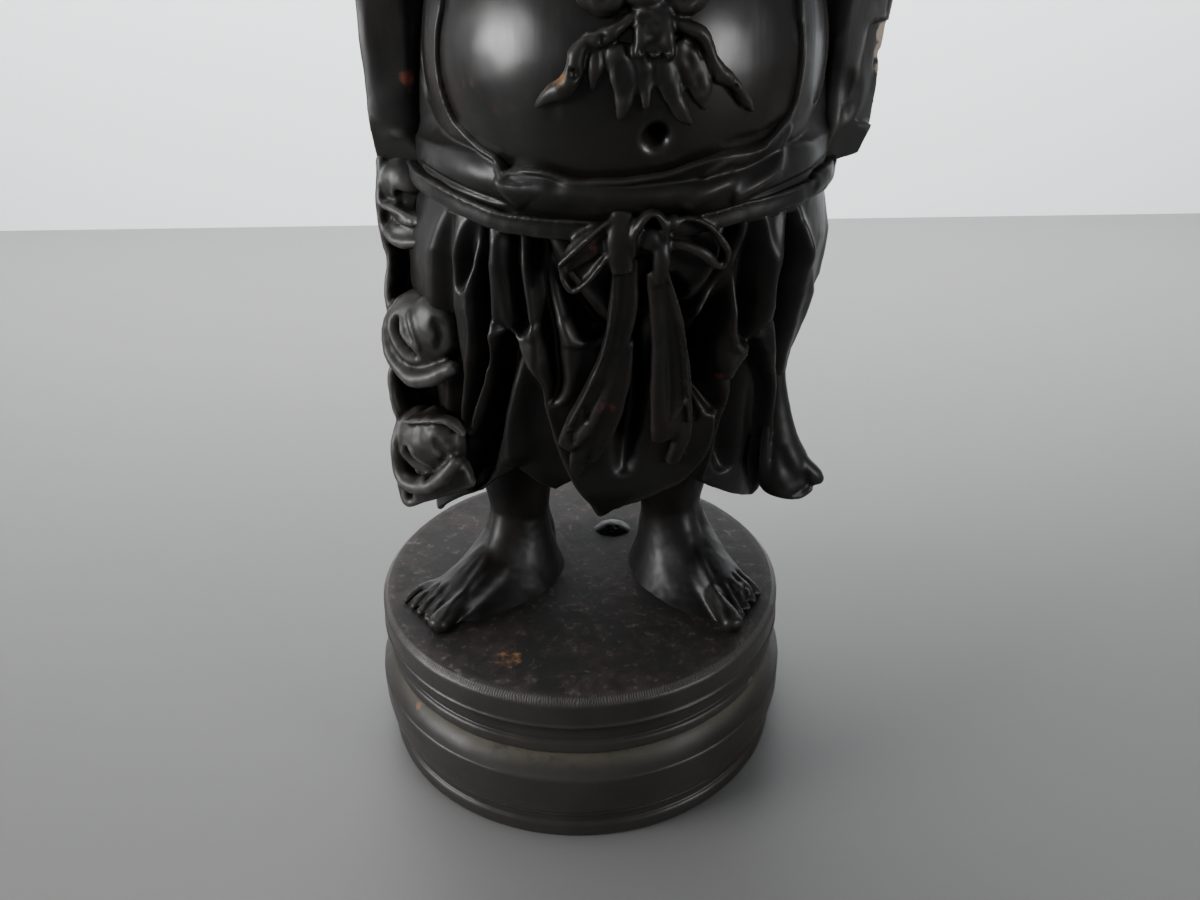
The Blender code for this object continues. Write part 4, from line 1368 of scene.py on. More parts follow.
@dataclass
class Tie(Carving):
    """The tie under the breast: its band, knot and tab, waved ribbons and pointed ends."""

    name: str = "breast_tie"
    grain: float = 0.00044
    softening: int = 1
    waves: Rows = ((0.8, 0.07), (0.32, 0.035))
    spots: tuple[Spot, ...] = (
        Spot("ochre", (-0.4, -10.1, 24.2), 0.4, 0.45), Spot("ochre", (-0.9, -9.9, 24.0), 0.4, 0.4),
        Spot("ochre", (4.9, -9.6, 24.1), 0.14, 0.7), Spot("red", (5.2, -9.5, 23.9), 0.2, 0.6),
        Spot("ochre", (2.1, -10.2, 23.6), 0.3, 0.35))

    def shape(self, forms: Forms) -> None:
        """Band, tab, ribbons and leaves."""
        band = partial(forms.strap_on, BELLY)
        band((
            (-75, 28.2, 0.05, 0.4, 0.25), (-40, 27.6, 0.05, 0.4, 0.25), (3, 27.0, 0.05, 0.45, 0.25),
            (46, 27.6, 0.05, 0.4, 0.25), (80, 28.2, 0.05, 0.4, 0.25),
        ), steps=120, square=2.6)
        band(((1.6, 27.9, 0.2, 0.6, 0.4), (1.6, 27.0, 0.26, 0.7, 0.46), (1.6, 26.25, 0.25, 0.55, 0.4)), square=2.6)
        for side in (-1, 1):
            band((
                (1.6 + side * 3, 26.9, 0.2, 0.3, 0.35), (1.6 + side * 9, 27.1, 0.28, 0.5, 0.42),
                (1.6 + side * 13, 26.6, 0.25, 0.42, 0.4), (1.6 + side * 9, 26.1, 0.2, 0.3, 0.35),
                (1.6 + side * 3.5, 26.5, 0.2, 0.25, 0.3),
            ), steps=50)
        band(((3.6, 26.0, 0.15, 0.5, 0.3), (3.6, 25.4, 0.21, 0.56, 0.3), (3.6, 24.85, 0.23, 0.6, 0.24)), square=4.0)
        self.ribbons(forms)

    @staticmethod
    def ribbons(forms: Forms) -> None:
        """The waved ribbons and the pointed ends between them.

        Args:
            forms: where the forms go.
        """
        band = partial(forms.strap_on, BELLY)
        band((
            (-1.5, 25.8, 0.05, 0.2, 0.3), (-5.5, 25.45, 0.1, 0.24, 0.32), (-8.9, 25.25, 0.08, 0.26, 0.3),
            (-11.6, 25.2, 0.1, 0.24, 0.3), (-13.6, 24.85, 0.12, 0.24, 0.32), (-14.3, 24.4, 0.08, 0.28, 0.3),
            (-16.2, 24.0, 0.1, 0.32, 0.32), (-19.9, 23.75, 0.1, 0.28, 0.3), (-23.8, 23.45, 0.0, 0.1, 0.2),
        ), steps=80)
        band((
            (7.6, 25.7, 0.05, 0.2, 0.3), (11.5, 25.5, 0.12, 0.22, 0.34), (15.0, 25.3, 0.12, 0.22, 0.34),
            (17.2, 24.8, 0.1, 0.2, 0.3), (19.4, 24.35, 0.1, 0.22, 0.3), (23.2, 24.0, 0.12, 0.2, 0.3),
            (26.6, 23.6, 0.1, 0.18, 0.26), (30.4, 23.2, 0.0, 0.1, 0.2),
        ), steps=80)
        leaves = (
            ((-5.0, 25.0, 0.3), (-2.8, 24.2, 0.44), (-3.0, 23.6, 0.3), (-4.0, 23.05, 0.08)),
            ((-9.5, 24.9, 0.2), (-9.8, 24.4, 0.2), (-10.4, 23.9, 0.08)),
            ((1.6, 24.9, 0.25), (1.8, 24.2, 0.28), (2.2, 23.4, 0.12)),
            ((5.0, 24.8, 0.25), (7.2, 24.1, 0.34), (10.6, 23.3, 0.28), (13.8, 22.85, 0.08)),
            ((9.6, 25.1, 0.3), (13.0, 24.4, 0.42), (15.6, 23.8, 0.36), (17.2, 23.3, 0.1)),
        )
        band((
            (-9, 25.0, -0.06, 0.25, 0.16), (-4, 24.7, -0.04, 0.5, 0.16), (2, 24.5, -0.04, 0.6, 0.16),
            (8, 24.6, -0.04, 0.6, 0.16), (14, 24.8, -0.06, 0.3, 0.16),
        ), steps=50)
        for leaf in leaves:
            rows = tuple((turn, height, 0.02, wide, 0.17 if wide > 0.1 else 0.08) for turn, height, wide in leaf)
            band(rows, steps=40, square=2.4)

    def marks(self) -> list[Stroke]:
        """The tab's fold, and a vein or a raised rim on each leaf."""
        def on(rows: Rows) -> Rows:
            """Places in squares from degrees and height on the belly."""
            table = np.asarray(rows, float)
            return tuple(map(tuple, BELLY.at(table[:, 0], table[:, 1], np.full(len(table), 0.35))))

        return [
            Stroke(on(((0.6, 25.9), (2.6, 25.5), (5.9, 25.15))), 0.2, 0.2),
            Stroke(on(((1.2, 26.0), (3.4, 25.75), (6.2, 25.4))), 0.14, -0.12),
            Stroke(on(((1.0, 24.75), (3.6, 25.05), (6.4, 24.75))), 0.2, 0.3, (0.05, 0.05)),
            Stroke(on(((-1.4, 24.6), (-1.0, 23.9), (-3.4, 23.2))), 0.1, -0.14),
            Stroke(on(((-3.8, 24.8), (-3.4, 24.0))), 0.12, 0.12),
            Stroke(on(((6.0, 24.5), (8.6, 23.9), (13.2, 22.95))), 0.1, -0.14),
            Stroke(on(((3.7, 24.7), (3.9, 24.1), (4.5, 23.5))), 0.12, 0.25),
            Stroke(on(((10.6, 24.9), (13.4, 24.2), (16.4, 23.5))), 0.14, 0.12),
            Stroke(on(((-7.2, 25.4), (-8.2, 25.1))), 0.1, 0.12),
            Stroke(on(((-14.6, 24.5), (-13.6, 24.2))), 0.1, 0.16),
            Stroke(on(((22.6, 24.2), (23.6, 23.8))), 0.1, 0.14),
        ]


@dataclass
class Sleeve(Carving):
    """One wide sleeve that hangs from a raised forearm down to the hip."""

    name: str = "sleeve"
    grain: float = 0.00094
    right_hand: bool = True
    waves: Rows = ((2.0, 0.06), (0.7, 0.02))

    def place(self, rows: Rows) -> Rows:
        """The rows, or their mirror image for the figure's right side."""
        return mirrored(rows) if self.right_hand else rows

    def shape(self, forms: Forms) -> None:
        """The sleeve, its front column and the arm in it."""
        forms.strap(self.place((
            (9.6, -0.3, 21.2, 2.2, 2.0), (9.95, -0.3, 22.4, 2.45, 1.9), (10.1, -0.35, 24.0, 2.5, 1.85),
            (10.1, -0.3, 28.0, 2.9, 1.75), (10.35, -0.3, 33.0, 3.2, 2.0), (10.35, -0.5, 37.5, 3.0, 2.27),
            (9.3, -1.2, 42.6, 2.2, 1.9),
        )), steps=70, sides=48, square=2.6)
        forms.strap(self.place((
            (10.4, -1.8, 20.9, 1.25, 1.35), (10.5, -1.9, 22.4, 1.25, 1.4), (10.5, -1.9, 25.0, 1.25, 1.45),
            (10.5, -1.8, 28.0, 1.3, 1.4), (10.6, -1.7, 32.0, 1.2, 1.3),
        )), steps=40, sides=40, facing=(0.0, -1.0, 0.0), square=3.2)
        forms.strap(self.place((
            (8.0, 0.2, 34.6, 2.3, 2.3), (9.6, -0.3, 36.6, 2.2, 2.2), (9.6, -0.9, 39.6, 1.9, 1.9),
            (9.0, -1.2, 42.0, 1.5, 1.5),
        )), sides=32)
        forms.strap(self.place(((9.3, -1.3, 42.3, 2.25, 1.95), (9.25, -1.35, 42.9, 2.3, 2.0))), steps=8, sides=40)

    def marks(self) -> list[Stroke]:
        """Folds that fall from the forearm, and the marks of use on each sleeve."""
        made = [Stroke(self.place(((11.6, side * 1.6, 41.0), (12.2, side * 2.0, 36.5), (12.0, side * 2.4, 31.0),
                                   (11.7, side * 1.8, 25.5))), 0.5, 0.35, (0.2, 0.3), 0.4) for side in (-1, 1)]
        made += [Stroke(self.place(((9.4, -3.6, 40.5), (10.2, -3.9, 36.0), (10.6, -3.7, 31.0),
                                    (10.2, -3.4, 26.8))), 0.4, 0.4, (0.2, 0.4), 0.4),
                 Stroke(self.place(((9.6, 1.2, 40.5), (10.4, 2.9, 36.0), (10.8, 3.1, 31.0), (10.4, 2.8, 25.0))),
                        0.5, 0.5, (0.2, 0.3), 0.4),
                 Stroke(self.place(((9.0, 3.0, 34.0), (9.4, 3.0, 29.0), (9.3, 2.6, 23.5))), 0.45, 0.45,
                        (0.2, 0.3), 0.4)]
        return made


@dataclass
class RightSleeve(Sleeve):
    """The sleeve on the figure's right, smooth in front and pared at its foot."""

    name: str = "right_sleeve"
    facets: tuple[Facet, ...] = (
        Facet((-7.7, 0.0, 24.0), (-1.0, -0.06, 0.0), 4.0, 0.7),
        Facet((-6.5, -3.32, 23.5), (0.04, -1.0, 0.03), 3.0),
        Facet((-6.3, -3.3, 21.75), (-0.35, -0.8, -0.5), 3.2),
        Facet((-6.3, -1.5, 20.66), (0.0, 0.0, -1.0), 4.0),
    )
    spots: tuple[Spot, ...] = (Spot("red", (-5.9, -3.3, 23.7), 0.3, 0.85), Spot("red", (-5.8, -3.3, 23.3), 0.2, 0.5))

    def marks(self) -> list[Stroke]:
        """The common folds, and knocks along the pared edges."""
        pared = [Stroke(((-7.7, -1.4 - 0.1 * k, 22.4 + 0.9 * k), (-7.6, -2.0, 22.1 + 0.9 * k)), 0.2, 0.06)
                 for k in range(5)]
        return [*super().marks(), *pared,
                Stroke(((-7.3, -2.7, 21.75), (-6.3, -3.3, 21.8), (-5.5, -3.5, 21.9)), 0.14, -0.08),
                Stroke(((-6.1, -3.4, 22.9), (-6.0, -3.4, 22.5)), 0.1, 0.06)]


@dataclass
class LeftSleeve(Sleeve):
    """The sleeve on the figure's left, broken away at its outer edge."""

    name: str = "left_sleeve"
    right_hand: bool = False
    facets: tuple[Facet, ...] = (
        Facet((10.4, -3.25, 23.5), (0.12, -1.0, 0.0), 3.2),
        Facet((11.3, -2.4, 23.6), (0.75, -0.66, -0.1), 1.9),
        Facet((10.6, -2.6, 21.2), (0.51, -0.81, -0.28), 2.6),
        Facet((10.4, -1.5, 20.66), (0.1, 0.1, -1.0), 4.0),
        Facet((12.1, -0.6, 22.6), (1.0, -0.1, -0.35), 3.0),
    )
    spots: tuple[Spot, ...] = (
        Spot("pale", (11.5, -2.3, 25.1), 0.36, 1.0), Spot("pale", (11.65, -2.0, 24.5), 0.36, 1.0),
        Spot("pale", (11.6, -1.8, 23.8), 0.26, 1.0), Spot("pale", (11.3, -2.5, 25.7), 0.3, 0.9),
        Spot("pale", (11.8, -1.5, 25.0), 0.3, 0.8))

    def marks(self) -> list[Stroke]:
        """The common folds, the break, the oval hollow and the groove beside the robe."""
        return [
            *super().marks(),
            Stroke(((11.9, -2.0, 24.9), (12.1, -1.0, 24.6), (12.2, 0.4, 24.4)), 0.5, 0.6, (0.05, 0.3)),
            Stroke(((11.9, -2.2, 25.6), (12.3, -1.0, 25.6)), 0.26, -0.2),
            Stroke(((11.5, -2.4, 24.6), (11.6, -2.1, 23.7)), 0.16, 0.14),
            Stroke(((10.2, -3.2, 23.8), (10.3, -3.2, 22.8), (10.4, -3.1, 22.0)), 0.42, 0.2, (0.3, 0.3), 0.2),
            Stroke(((9.7, -3.3, 25.2), (9.55, -3.3, 24.2), (9.5, -3.2, 23.4)), 0.14, -0.1),
        ]


@dataclass
class Hands(Carving):
    """Both raised, open hands and their wrists."""

    name: str = "hands"
    grain: float = 0.0006
    shells: int = 2
    waves: Rows = ((1.2, 0.02),)

    def shape(self, forms: Forms) -> None:
        """Wrists, palms, fingers and thumbs."""
        for place in (tuple, mirrored):
            forms.strap(place((
                (9.2, -1.2, 41.5, 1.5, 1.5), (8.7, -1.4, 43.2, 1.35, 1.35), (8.3, -1.8, 45.6, 1.0, 1.0),
            )), sides=28)
            forms.strap(place((
                (8.3, -1.9, 45.3, 1.0, 0.8), (8.2, -2.3, 46.6, 1.4, 0.7), (8.2, -2.4, 47.8, 1.4, 0.6),
            )), sides=28, square=2.6)
            forms.ball(place(((7.4, -2.9, 46.4),))[0], (0.55, 0.4, 0.8))
            for finger in range(4):
                x = 7.15 + 0.68 * finger
                reach = 49.6 - 0.35 * abs(finger - 1.4)
                forms.strap(place((
                    (x, -2.4, 47.4, 0.36, 0.36), (x, -2.62, 48.2, 0.36, 0.36), (x, -2.7, 48.8, 0.33, 0.34),
                    (x, -2.5, 0.5 * (48.8 + reach), 0.33, 0.33), (x, -2.3, reach - 0.15, 0.27, 0.27),
                )), steps=20, sides=18)
            forms.strap(place((
                (7.3, -2.3, 46.2, 0.42, 0.42), (6.6, -3.0, 47.0, 0.38, 0.38), (6.4, -3.3, 47.9, 0.3, 0.3),
            )), steps=20, sides=18)

    def marks(self) -> list[Stroke]:
        """Creases of the palms and of the finger joints."""
        made = []
        for side in (1, -1):
            centre = MIDDLE + side * (8.2 - MIDDLE)
            made.append(Stroke(((centre - 1.0, -3.0, 47.3), (centre, -3.1, 47.1), (centre + 1.0, -3.0, 47.4)), 0.12,
                               0.12))
            made.append(Stroke(((centre - side * 0.9, -3.0, 46.9), (centre - side * 0.2, -3.1, 46.3),
                                (centre - side * 0.3, -2.9, 45.6)), 0.12, 0.12))
            for finger in range(4):
                x = MIDDLE + side * (7.15 + 0.68 * finger - MIDDLE)
                for height in (48.2, 48.95):
                    made.append(Stroke(((x - 0.25, -2.98, height), (x + 0.25, -2.98, height)), 0.07, 0.06))
        return made


@dataclass
class Head(Carving):
    """A round, bald head with long ear lobes, full cheeks and a calm smile."""

    name: str = "head"
    grain: float = 0.00075
    softening: int = 3
    waves: Rows = ((1.8, 0.03),)
    axis: float = 1.85

    def shape(self, forms: Forms) -> None:
        """Skull, jaw, nose, lids, brows, lips and ears."""
        x = self.axis
        forms.ball((x, -1.4, 42.2), (4.1, 4.4, 4.8))
        forms.ball((x, -2.2, 39.6), (3.9, 3.7, 2.6))
        forms.ball((x, -2.6, 38.0), (3.0, 2.9, 1.5))
        forms.ball((x, -4.6, 38.0), (1.3, 1.1, 0.9))
        forms.ball((x, -5.65, 41.3), (0.7, 0.85, 0.58))
        forms.strap(((x, -5.5, 43.3, 0.4, 0.4), (x, -5.8, 42.3, 0.42, 0.5), (x, -6.05, 41.5, 0.55, 0.5)), sides=24)
        for side in (-1, 1):
            forms.ball((x + side * 0.72, -5.5, 41.1), (0.48, 0.55, 0.42))
            forms.ball((x + side * 1.95, -4.35, 40.5), (1.5, 1.25, 1.3))
            forms.ball((x + side * 1.6, -4.75, 42.45), (0.95, 0.55, 0.45), (0, side * 8, side * 14))
            forms.strap((
                (x + side * 0.75, -5.3, 42.35, 0.08, 0.12), (x + side * 1.6, -5.32, 42.75, 0.14, 0.22),
                (x + side * 2.5, -4.75, 42.4, 0.08, 0.15),
            ), steps=24)
            forms.strap((
                (x + side * 0.8, -5.25, 42.2, 0.06, 0.1), (x + side * 1.6, -5.25, 42.05, 0.1, 0.16),
                (x + side * 2.4, -4.75, 42.2, 0.06, 0.12),
            ), steps=24)
            forms.strap((
                (x + side * 0.6, -5.45, 43.5, 0.24, 0.28), (x + side * 1.7, -5.1, 43.95, 0.26, 0.28),
                (x + side * 2.9, -4.1, 43.3, 0.2, 0.22),
            ), steps=28)
            self.ear(forms, side)
        forms.strap((
            (x - 1.5, -4.75, 39.95, 0.14, 0.16), (x - 0.6, -5.5, 39.5, 0.22, 0.26), (x, -5.65, 39.42, 0.24, 0.3),
            (x + 0.6, -5.5, 39.5, 0.22, 0.26), (x + 1.5, -4.75, 39.95, 0.14, 0.16),
        ), steps=40)
        forms.strap((
            (x - 1.4, -4.75, 39.8, 0.12, 0.14), (x, -5.6, 38.9, 0.3, 0.32), (x + 1.4, -4.75, 39.8, 0.12, 0.14),
        ), steps=40)

    def ear(self, forms: Forms, side: int) -> None:
        """One ear: its shell, its curled rim and its long lobe.

        Args:
            forms: where the forms go.
            side: 1 towards +X, -1 towards -X.
        """
        x = self.axis
        forms.strap((
            (x + side * 4.0, -0.9, 43.6, 0.7, 0.4), (x + side * 4.2, -0.8, 41.6, 0.85, 0.42),
            (x + side * 4.15, -1.1, 39.6, 0.6, 0.42), (x + side * 3.95, -1.4, 37.6, 0.7, 0.45),
        ), steps=40, sides=24)
        forms.strap((
            (x + side * 4.1, -1.7, 42.3, 0.2, 0.25), (x + side * 4.4, -1.8, 43.4, 0.24, 0.28),
            (x + side * 4.55, -0.9, 44.2, 0.26, 0.3), (x + side * 4.65, 0.0, 43.2, 0.26, 0.3),
            (x + side * 4.7, 0.0, 41.4, 0.26, 0.3), (x + side * 4.55, -0.6, 39.8, 0.26, 0.28),
            (x + side * 4.35, -0.9, 38.2, 0.3, 0.3),
        ), steps=60, facing=(side, 0, 0))

    def marks(self) -> list[Stroke]:
        """Closed eyes, the mouth's line, the smile's folds, and hollows of ears and nostrils."""
        x = self.axis
        made = [Stroke(((x - 1.45, -5.0, 39.88), (x - 0.7, -5.75, 39.28), (x, -5.95, 39.15),
                        (x + 0.7, -5.75, 39.28), (x + 1.45, -5.0, 39.88)), 0.13, 0.32),
                Stroke(((x, -6.0, 40.4), (x, -5.9, 39.9)), 0.14, 0.12),
                Stroke(((x - 0.5, -5.6, 38.45), (x + 0.5, -5.6, 38.45)), 0.22, 0.14)]
        for side in (-1, 1):
            made += [
                Stroke(((x + side * 0.8, -5.4, 42.3), (x + side * 1.6, -5.5, 42.42), (x + side * 2.5, -4.9, 42.28)),
                       0.1, 0.22),
                Stroke(((x + side * 0.95, -5.6, 41.3), (x + side * 1.75, -5.5, 40.3), (x + side * 1.9, -5.1, 39.4)),
                       0.2, 0.22, (0.15, 0.4)),
                Stroke(((x + side * 0.42, -6.2, 40.92), (x + side * 0.5, -6.0, 40.95)), 0.14, 0.2),
                Stroke(((x + side * 4.5, -1.2, 42.9), (x + side * 4.6, -0.7, 42.0), (x + side * 4.5, -1.0, 41.0)),
                       0.32, 0.35),
                Stroke(((x + side * 0.8, -5.6, 44.9), (x + side * 1.9, -5.0, 45.0)), 0.2, 0.05),
            ]
        made.append(Stroke(((x - 1.5, -5.3, 45.0), (x, -5.6, 45.15), (x + 1.5, -5.3, 45.0)), 0.16, 0.05))
        return made


@dataclass
class Swag(Carving):
    """The robe's edge falling down the figure's right side in rolled folds with deep hollows."""

    name: str = "side_folds"
    grain: float = 0.00066
    softening: int = 2
    waves: Rows = ((0.9, 0.05), (0.35, 0.02))
    ahead: Row = (-0.56, -0.83, 0.0)
    spots: tuple[Spot, ...] = (Spot("red", (-5.6, -5.9, 14.3), 0.6, 0.62), Spot("red", (-6.0, -5.9, 13.9), 0.4, 0.4),)

    def shape(self, forms: Forms) -> None:
        """The backing, the outer lip, the hatched mouth, the two rolled folds and the open corner."""
        forms.strap((
            (-6.2, -0.9, 21.0, 1.5, 0.9), (-6.3, -1.0, 17.0, 1.45, 0.9), (-6.35, -1.1, 12.0, 1.45, 0.9),
            (-6.5, -1.3, 8.0, 1.4, 0.8), (-6.9, -1.8, 6.4, 1.1, 0.6),
        ), steps=60, sides=28, facing=(-0.25, -1.0, 0.0), square=2.8)
        forms.strap((
            (-7.25, -1.6, 20.6, 0.34, 0.8), (-7.45, -1.7, 18.8, 0.34, 0.8), (-7.4, -1.8, 17.7, 0.32, 0.8),
            (-7.25, -1.9, 16.8, 0.32, 0.8), (-7.45, -2.0, 15.6, 0.32, 0.8), (-7.4, -2.2, 14.5, 0.32, 0.8),
            (-7.25, -2.3, 13.0, 0.32, 0.8), (-7.65, -2.4, 12.0, 0.32, 0.8), (-7.65, -2.6, 10.8, 0.32, 0.8),
            (-7.45, -2.7, 10.0, 0.32, 0.8), (-7.6, -2.8, 8.5, 0.32, 0.7), (-7.8, -3.0, 7.0, 0.3, 0.55),
            (-7.75, -3.1, 6.0, 0.26, 0.4),
        ), steps=90, sides=24, facing=(-0.3, -1.0, 0.0))
        forms.ball((-6.4, -1.9, 19.9), (1.25, 1.15, 1.1), (0, 0, -34))
        forms.ball((-6.2, -2.9, 18.4), (1.2, 0.8, 0.6), (0, 0, -40))
        forms.strap((
            (-7.5, -2.2, 19.0, 0.18, 0.3), (-6.9, -2.9, 18.95, 0.16, 0.3), (-6.0, -3.5, 18.65, 0.15, 0.3),
            (-5.3, -4.3, 18.35, 0.14, 0.28), (-4.7, -5.2, 18.2, 0.12, 0.24),
        ), steps=40, facing=self.ahead)
        forms.strap((
            (-7.5, -2.2, 18.1, 0.26, 0.34), (-6.9, -2.9, 17.75, 0.3, 0.4), (-6.2, -3.5, 17.8, 0.26, 0.36),
            (-5.5, -4.2, 18.15, 0.16, 0.26),
        ), steps=40, facing=self.ahead)
        forms.strap(((-4.9, -5.2, 19.2, 0.15, 0.3), (-4.4, -5.6, 18.4, 0.18, 0.3), (-4.2, -5.9, 17.6, 0.1, 0.2)))
        forms.ball((-6.1, -3.5, 14.1), (1.85, 1.25, 1.8), (0, 0, -34))
        forms.ball((-5.55, -4.35, 14.6), (1.2, 0.85, 1.35), (0, 0, -34))
        forms.strap((
            (-7.0, -3.2, 15.3, 0.24, 0.4), (-7.5, -3.1, 14.4, 0.34, 0.5), (-7.55, -3.2, 13.4, 0.4, 0.55),
            (-7.2, -3.6, 12.75, 0.42, 0.55), (-6.6, -4.2, 12.4, 0.42, 0.55), (-5.8, -4.8, 12.65, 0.4, 0.5),
            (-4.9, -5.2, 13.2, 0.3, 0.4),
        ), steps=60, sides=24, facing=self.ahead)
        forms.ball((-6.3, -3.5, 9.2), (1.75, 1.2, 1.55), (0, 0, -34))
        forms.ball((-5.8, -4.25, 9.6), (1.2, 0.85, 1.1), (0, 0, -34))
        forms.strap((
            (-7.6, -3.2, 9.8, 0.26, 0.4), (-7.75, -3.4, 8.9, 0.34, 0.5), (-7.75, -3.5, 7.9, 0.38, 0.5),
            (-7.4, -4.0, 7.4, 0.38, 0.5), (-6.6, -4.6, 7.5, 0.38, 0.5), (-5.8, -5.05, 8.1, 0.34, 0.44),
            (-5.1, -5.25, 9.0, 0.24, 0.34),
        ), steps=60, sides=24, facing=self.ahead)
        forms.strap((
            (-7.1, -4.1, 10.4, 0.14, 0.36), (-6.5, -4.6, 10.65, 0.15, 0.4), (-5.9, -4.9, 10.8, 0.15, 0.4),
            (-5.2, -5.1, 10.8, 0.15, 0.36), (-4.7, -5.3, 10.3, 0.1, 0.24),
        ), steps=40, facing=self.ahead)
        forms.strap((
            (-4.8, -4.6, 8.2, 0.8, 0.34), (-5.8, -4.2, 7.6, 0.75, 0.34), (-6.9, -3.8, 6.9, 0.62, 0.34),
            (-7.5, -3.5, 6.4, 0.5, 0.34), (-7.7, -3.3, 6.1, 0.38, 0.3),
        ), steps=40, sides=24, facing=self.ahead, square=2.8)

    def marks(self) -> list[Stroke]:
        """The slits, the hollows between the folds, the hatching and the opening at the corner."""
        def cut(line: Rows, width: float, depth: float, shoulder: float = 0.0) -> Stroke:
            """A stroke that need not lie at the skin's exact depth."""
            return Stroke(line, width, depth, (0.2, 0.2), shoulder, self.ahead)

        made = [
            cut(((-7.1, -3.9, 15.0), (-7.05, -4.0, 14.3), (-6.8, -4.3, 13.8), (-6.4, -4.7, 13.4)), 0.2, 0.75, 0.15),
            cut(((-6.6, -4.4, 15.3), (-6.3, -4.7, 14.5), (-6.2, -4.8, 13.8)), 0.16, -0.16),
            cut(((-5.5, -5.2, 15.3), (-5.3, -5.4, 14.6), (-5.5, -5.2, 13.9)), 0.2, 0.14),
            cut(((-7.35, -4.0, 9.2), (-7.05, -4.2, 8.5), (-6.3, -4.7, 8.05)), 0.18, 0.62, 0.15),
            cut(((-6.1, -5.2, 10.0), (-5.7, -5.4, 9.2), (-6.0, -5.2, 8.7)), 0.16, 0.16),
            cut(((-6.9, -2.9, 17.1), (-6.6, -3.1, 16.6), (-6.4, -3.2, 16.0)), 0.42, 0.7),
            cut(((-6.9, -3.1, 12.0), (-6.7, -3.3, 11.3), (-6.2, -3.7, 11.1)), 0.36, 0.7),
            cut(((-7.1, -3.0, 19.5), (-6.6, -3.3, 19.35), (-6.1, -3.6, 19.3)), 0.2, 0.35),
            cut(((-7.5, -3.7, 6.95), (-7.5, -3.7, 6.3)), 0.18, 0.5),
            cut(((-7.3, -2.7, 18.55), (-6.5, -3.4, 18.3), (-5.6, -4.2, 18.25)), 0.2, 0.3),
        ]
        for number in range(9):
            x = -7.3 + 0.2 * number
            y = -2.5 - 0.2 * number
            made.append(cut(((x, y, 18.72), (x + 0.05, y, 18.36)), 0.05, 0.1))
        return made


@dataclass
class HemFlare(Carving):
    """The hem's corner thrown out and curled at the figure's left."""

    name: str = "hem_flare"
    grain: float = 0.0006

    def shape(self, forms: Forms) -> None:
        """The fold running down into the thrown-out corner, its turned rim and its left edge."""
        forms.strap((
            (7.7, -3.4, 16.0, 0.3, 0.35), (8.3, -3.0, 13.0, 0.5, 0.5), (8.6, -2.8, 10.5, 0.7, 0.65),
            (8.9, -2.9, 8.6, 0.95, 0.85), (9.3, -3.0, 7.3, 1.25, 0.95), (9.6, -3.1, 6.5, 1.15, 0.8),
        ), steps=60, sides=28, facing=(0.5, -0.86, 0.0))
        forms.strap((
            (8.9, -2.9, 9.2, 0.35, 0.5), (9.4, -3.0, 8.1, 0.45, 0.5), (10.0, -3.1, 7.4, 0.5, 0.5),
            (10.6, -3.2, 6.9, 0.45, 0.42), (10.9, -3.2, 6.6, 0.3, 0.3),
        ), steps=40)
        forms.strap((
            (8.2, -3.7, 11.0, 0.07, 0.24), (8.15, -3.7, 9.4, 0.08, 0.26), (8.15, -3.75, 7.6, 0.09, 0.28),
            (8.5, -3.6, 6.5, 0.14, 0.34), (9.1, -3.5, 6.1, 0.2, 0.4), (9.8, -3.4, 6.05, 0.22, 0.4),
            (10.4, -3.3, 6.3, 0.2, 0.36),
        ), steps=60)

    def marks(self) -> list[Stroke]:
        """The broad hollow under the rim."""
        ahead = (0.3, -0.95, 0.0)
        return [Stroke(((8.8, -3.8, 8.6), (9.2, -3.9, 7.6), (9.8, -3.9, 6.9), (10.4, -3.7, 6.8)), 0.4, 0.16,
                       (0.3, 0.2), 0.0, ahead)]


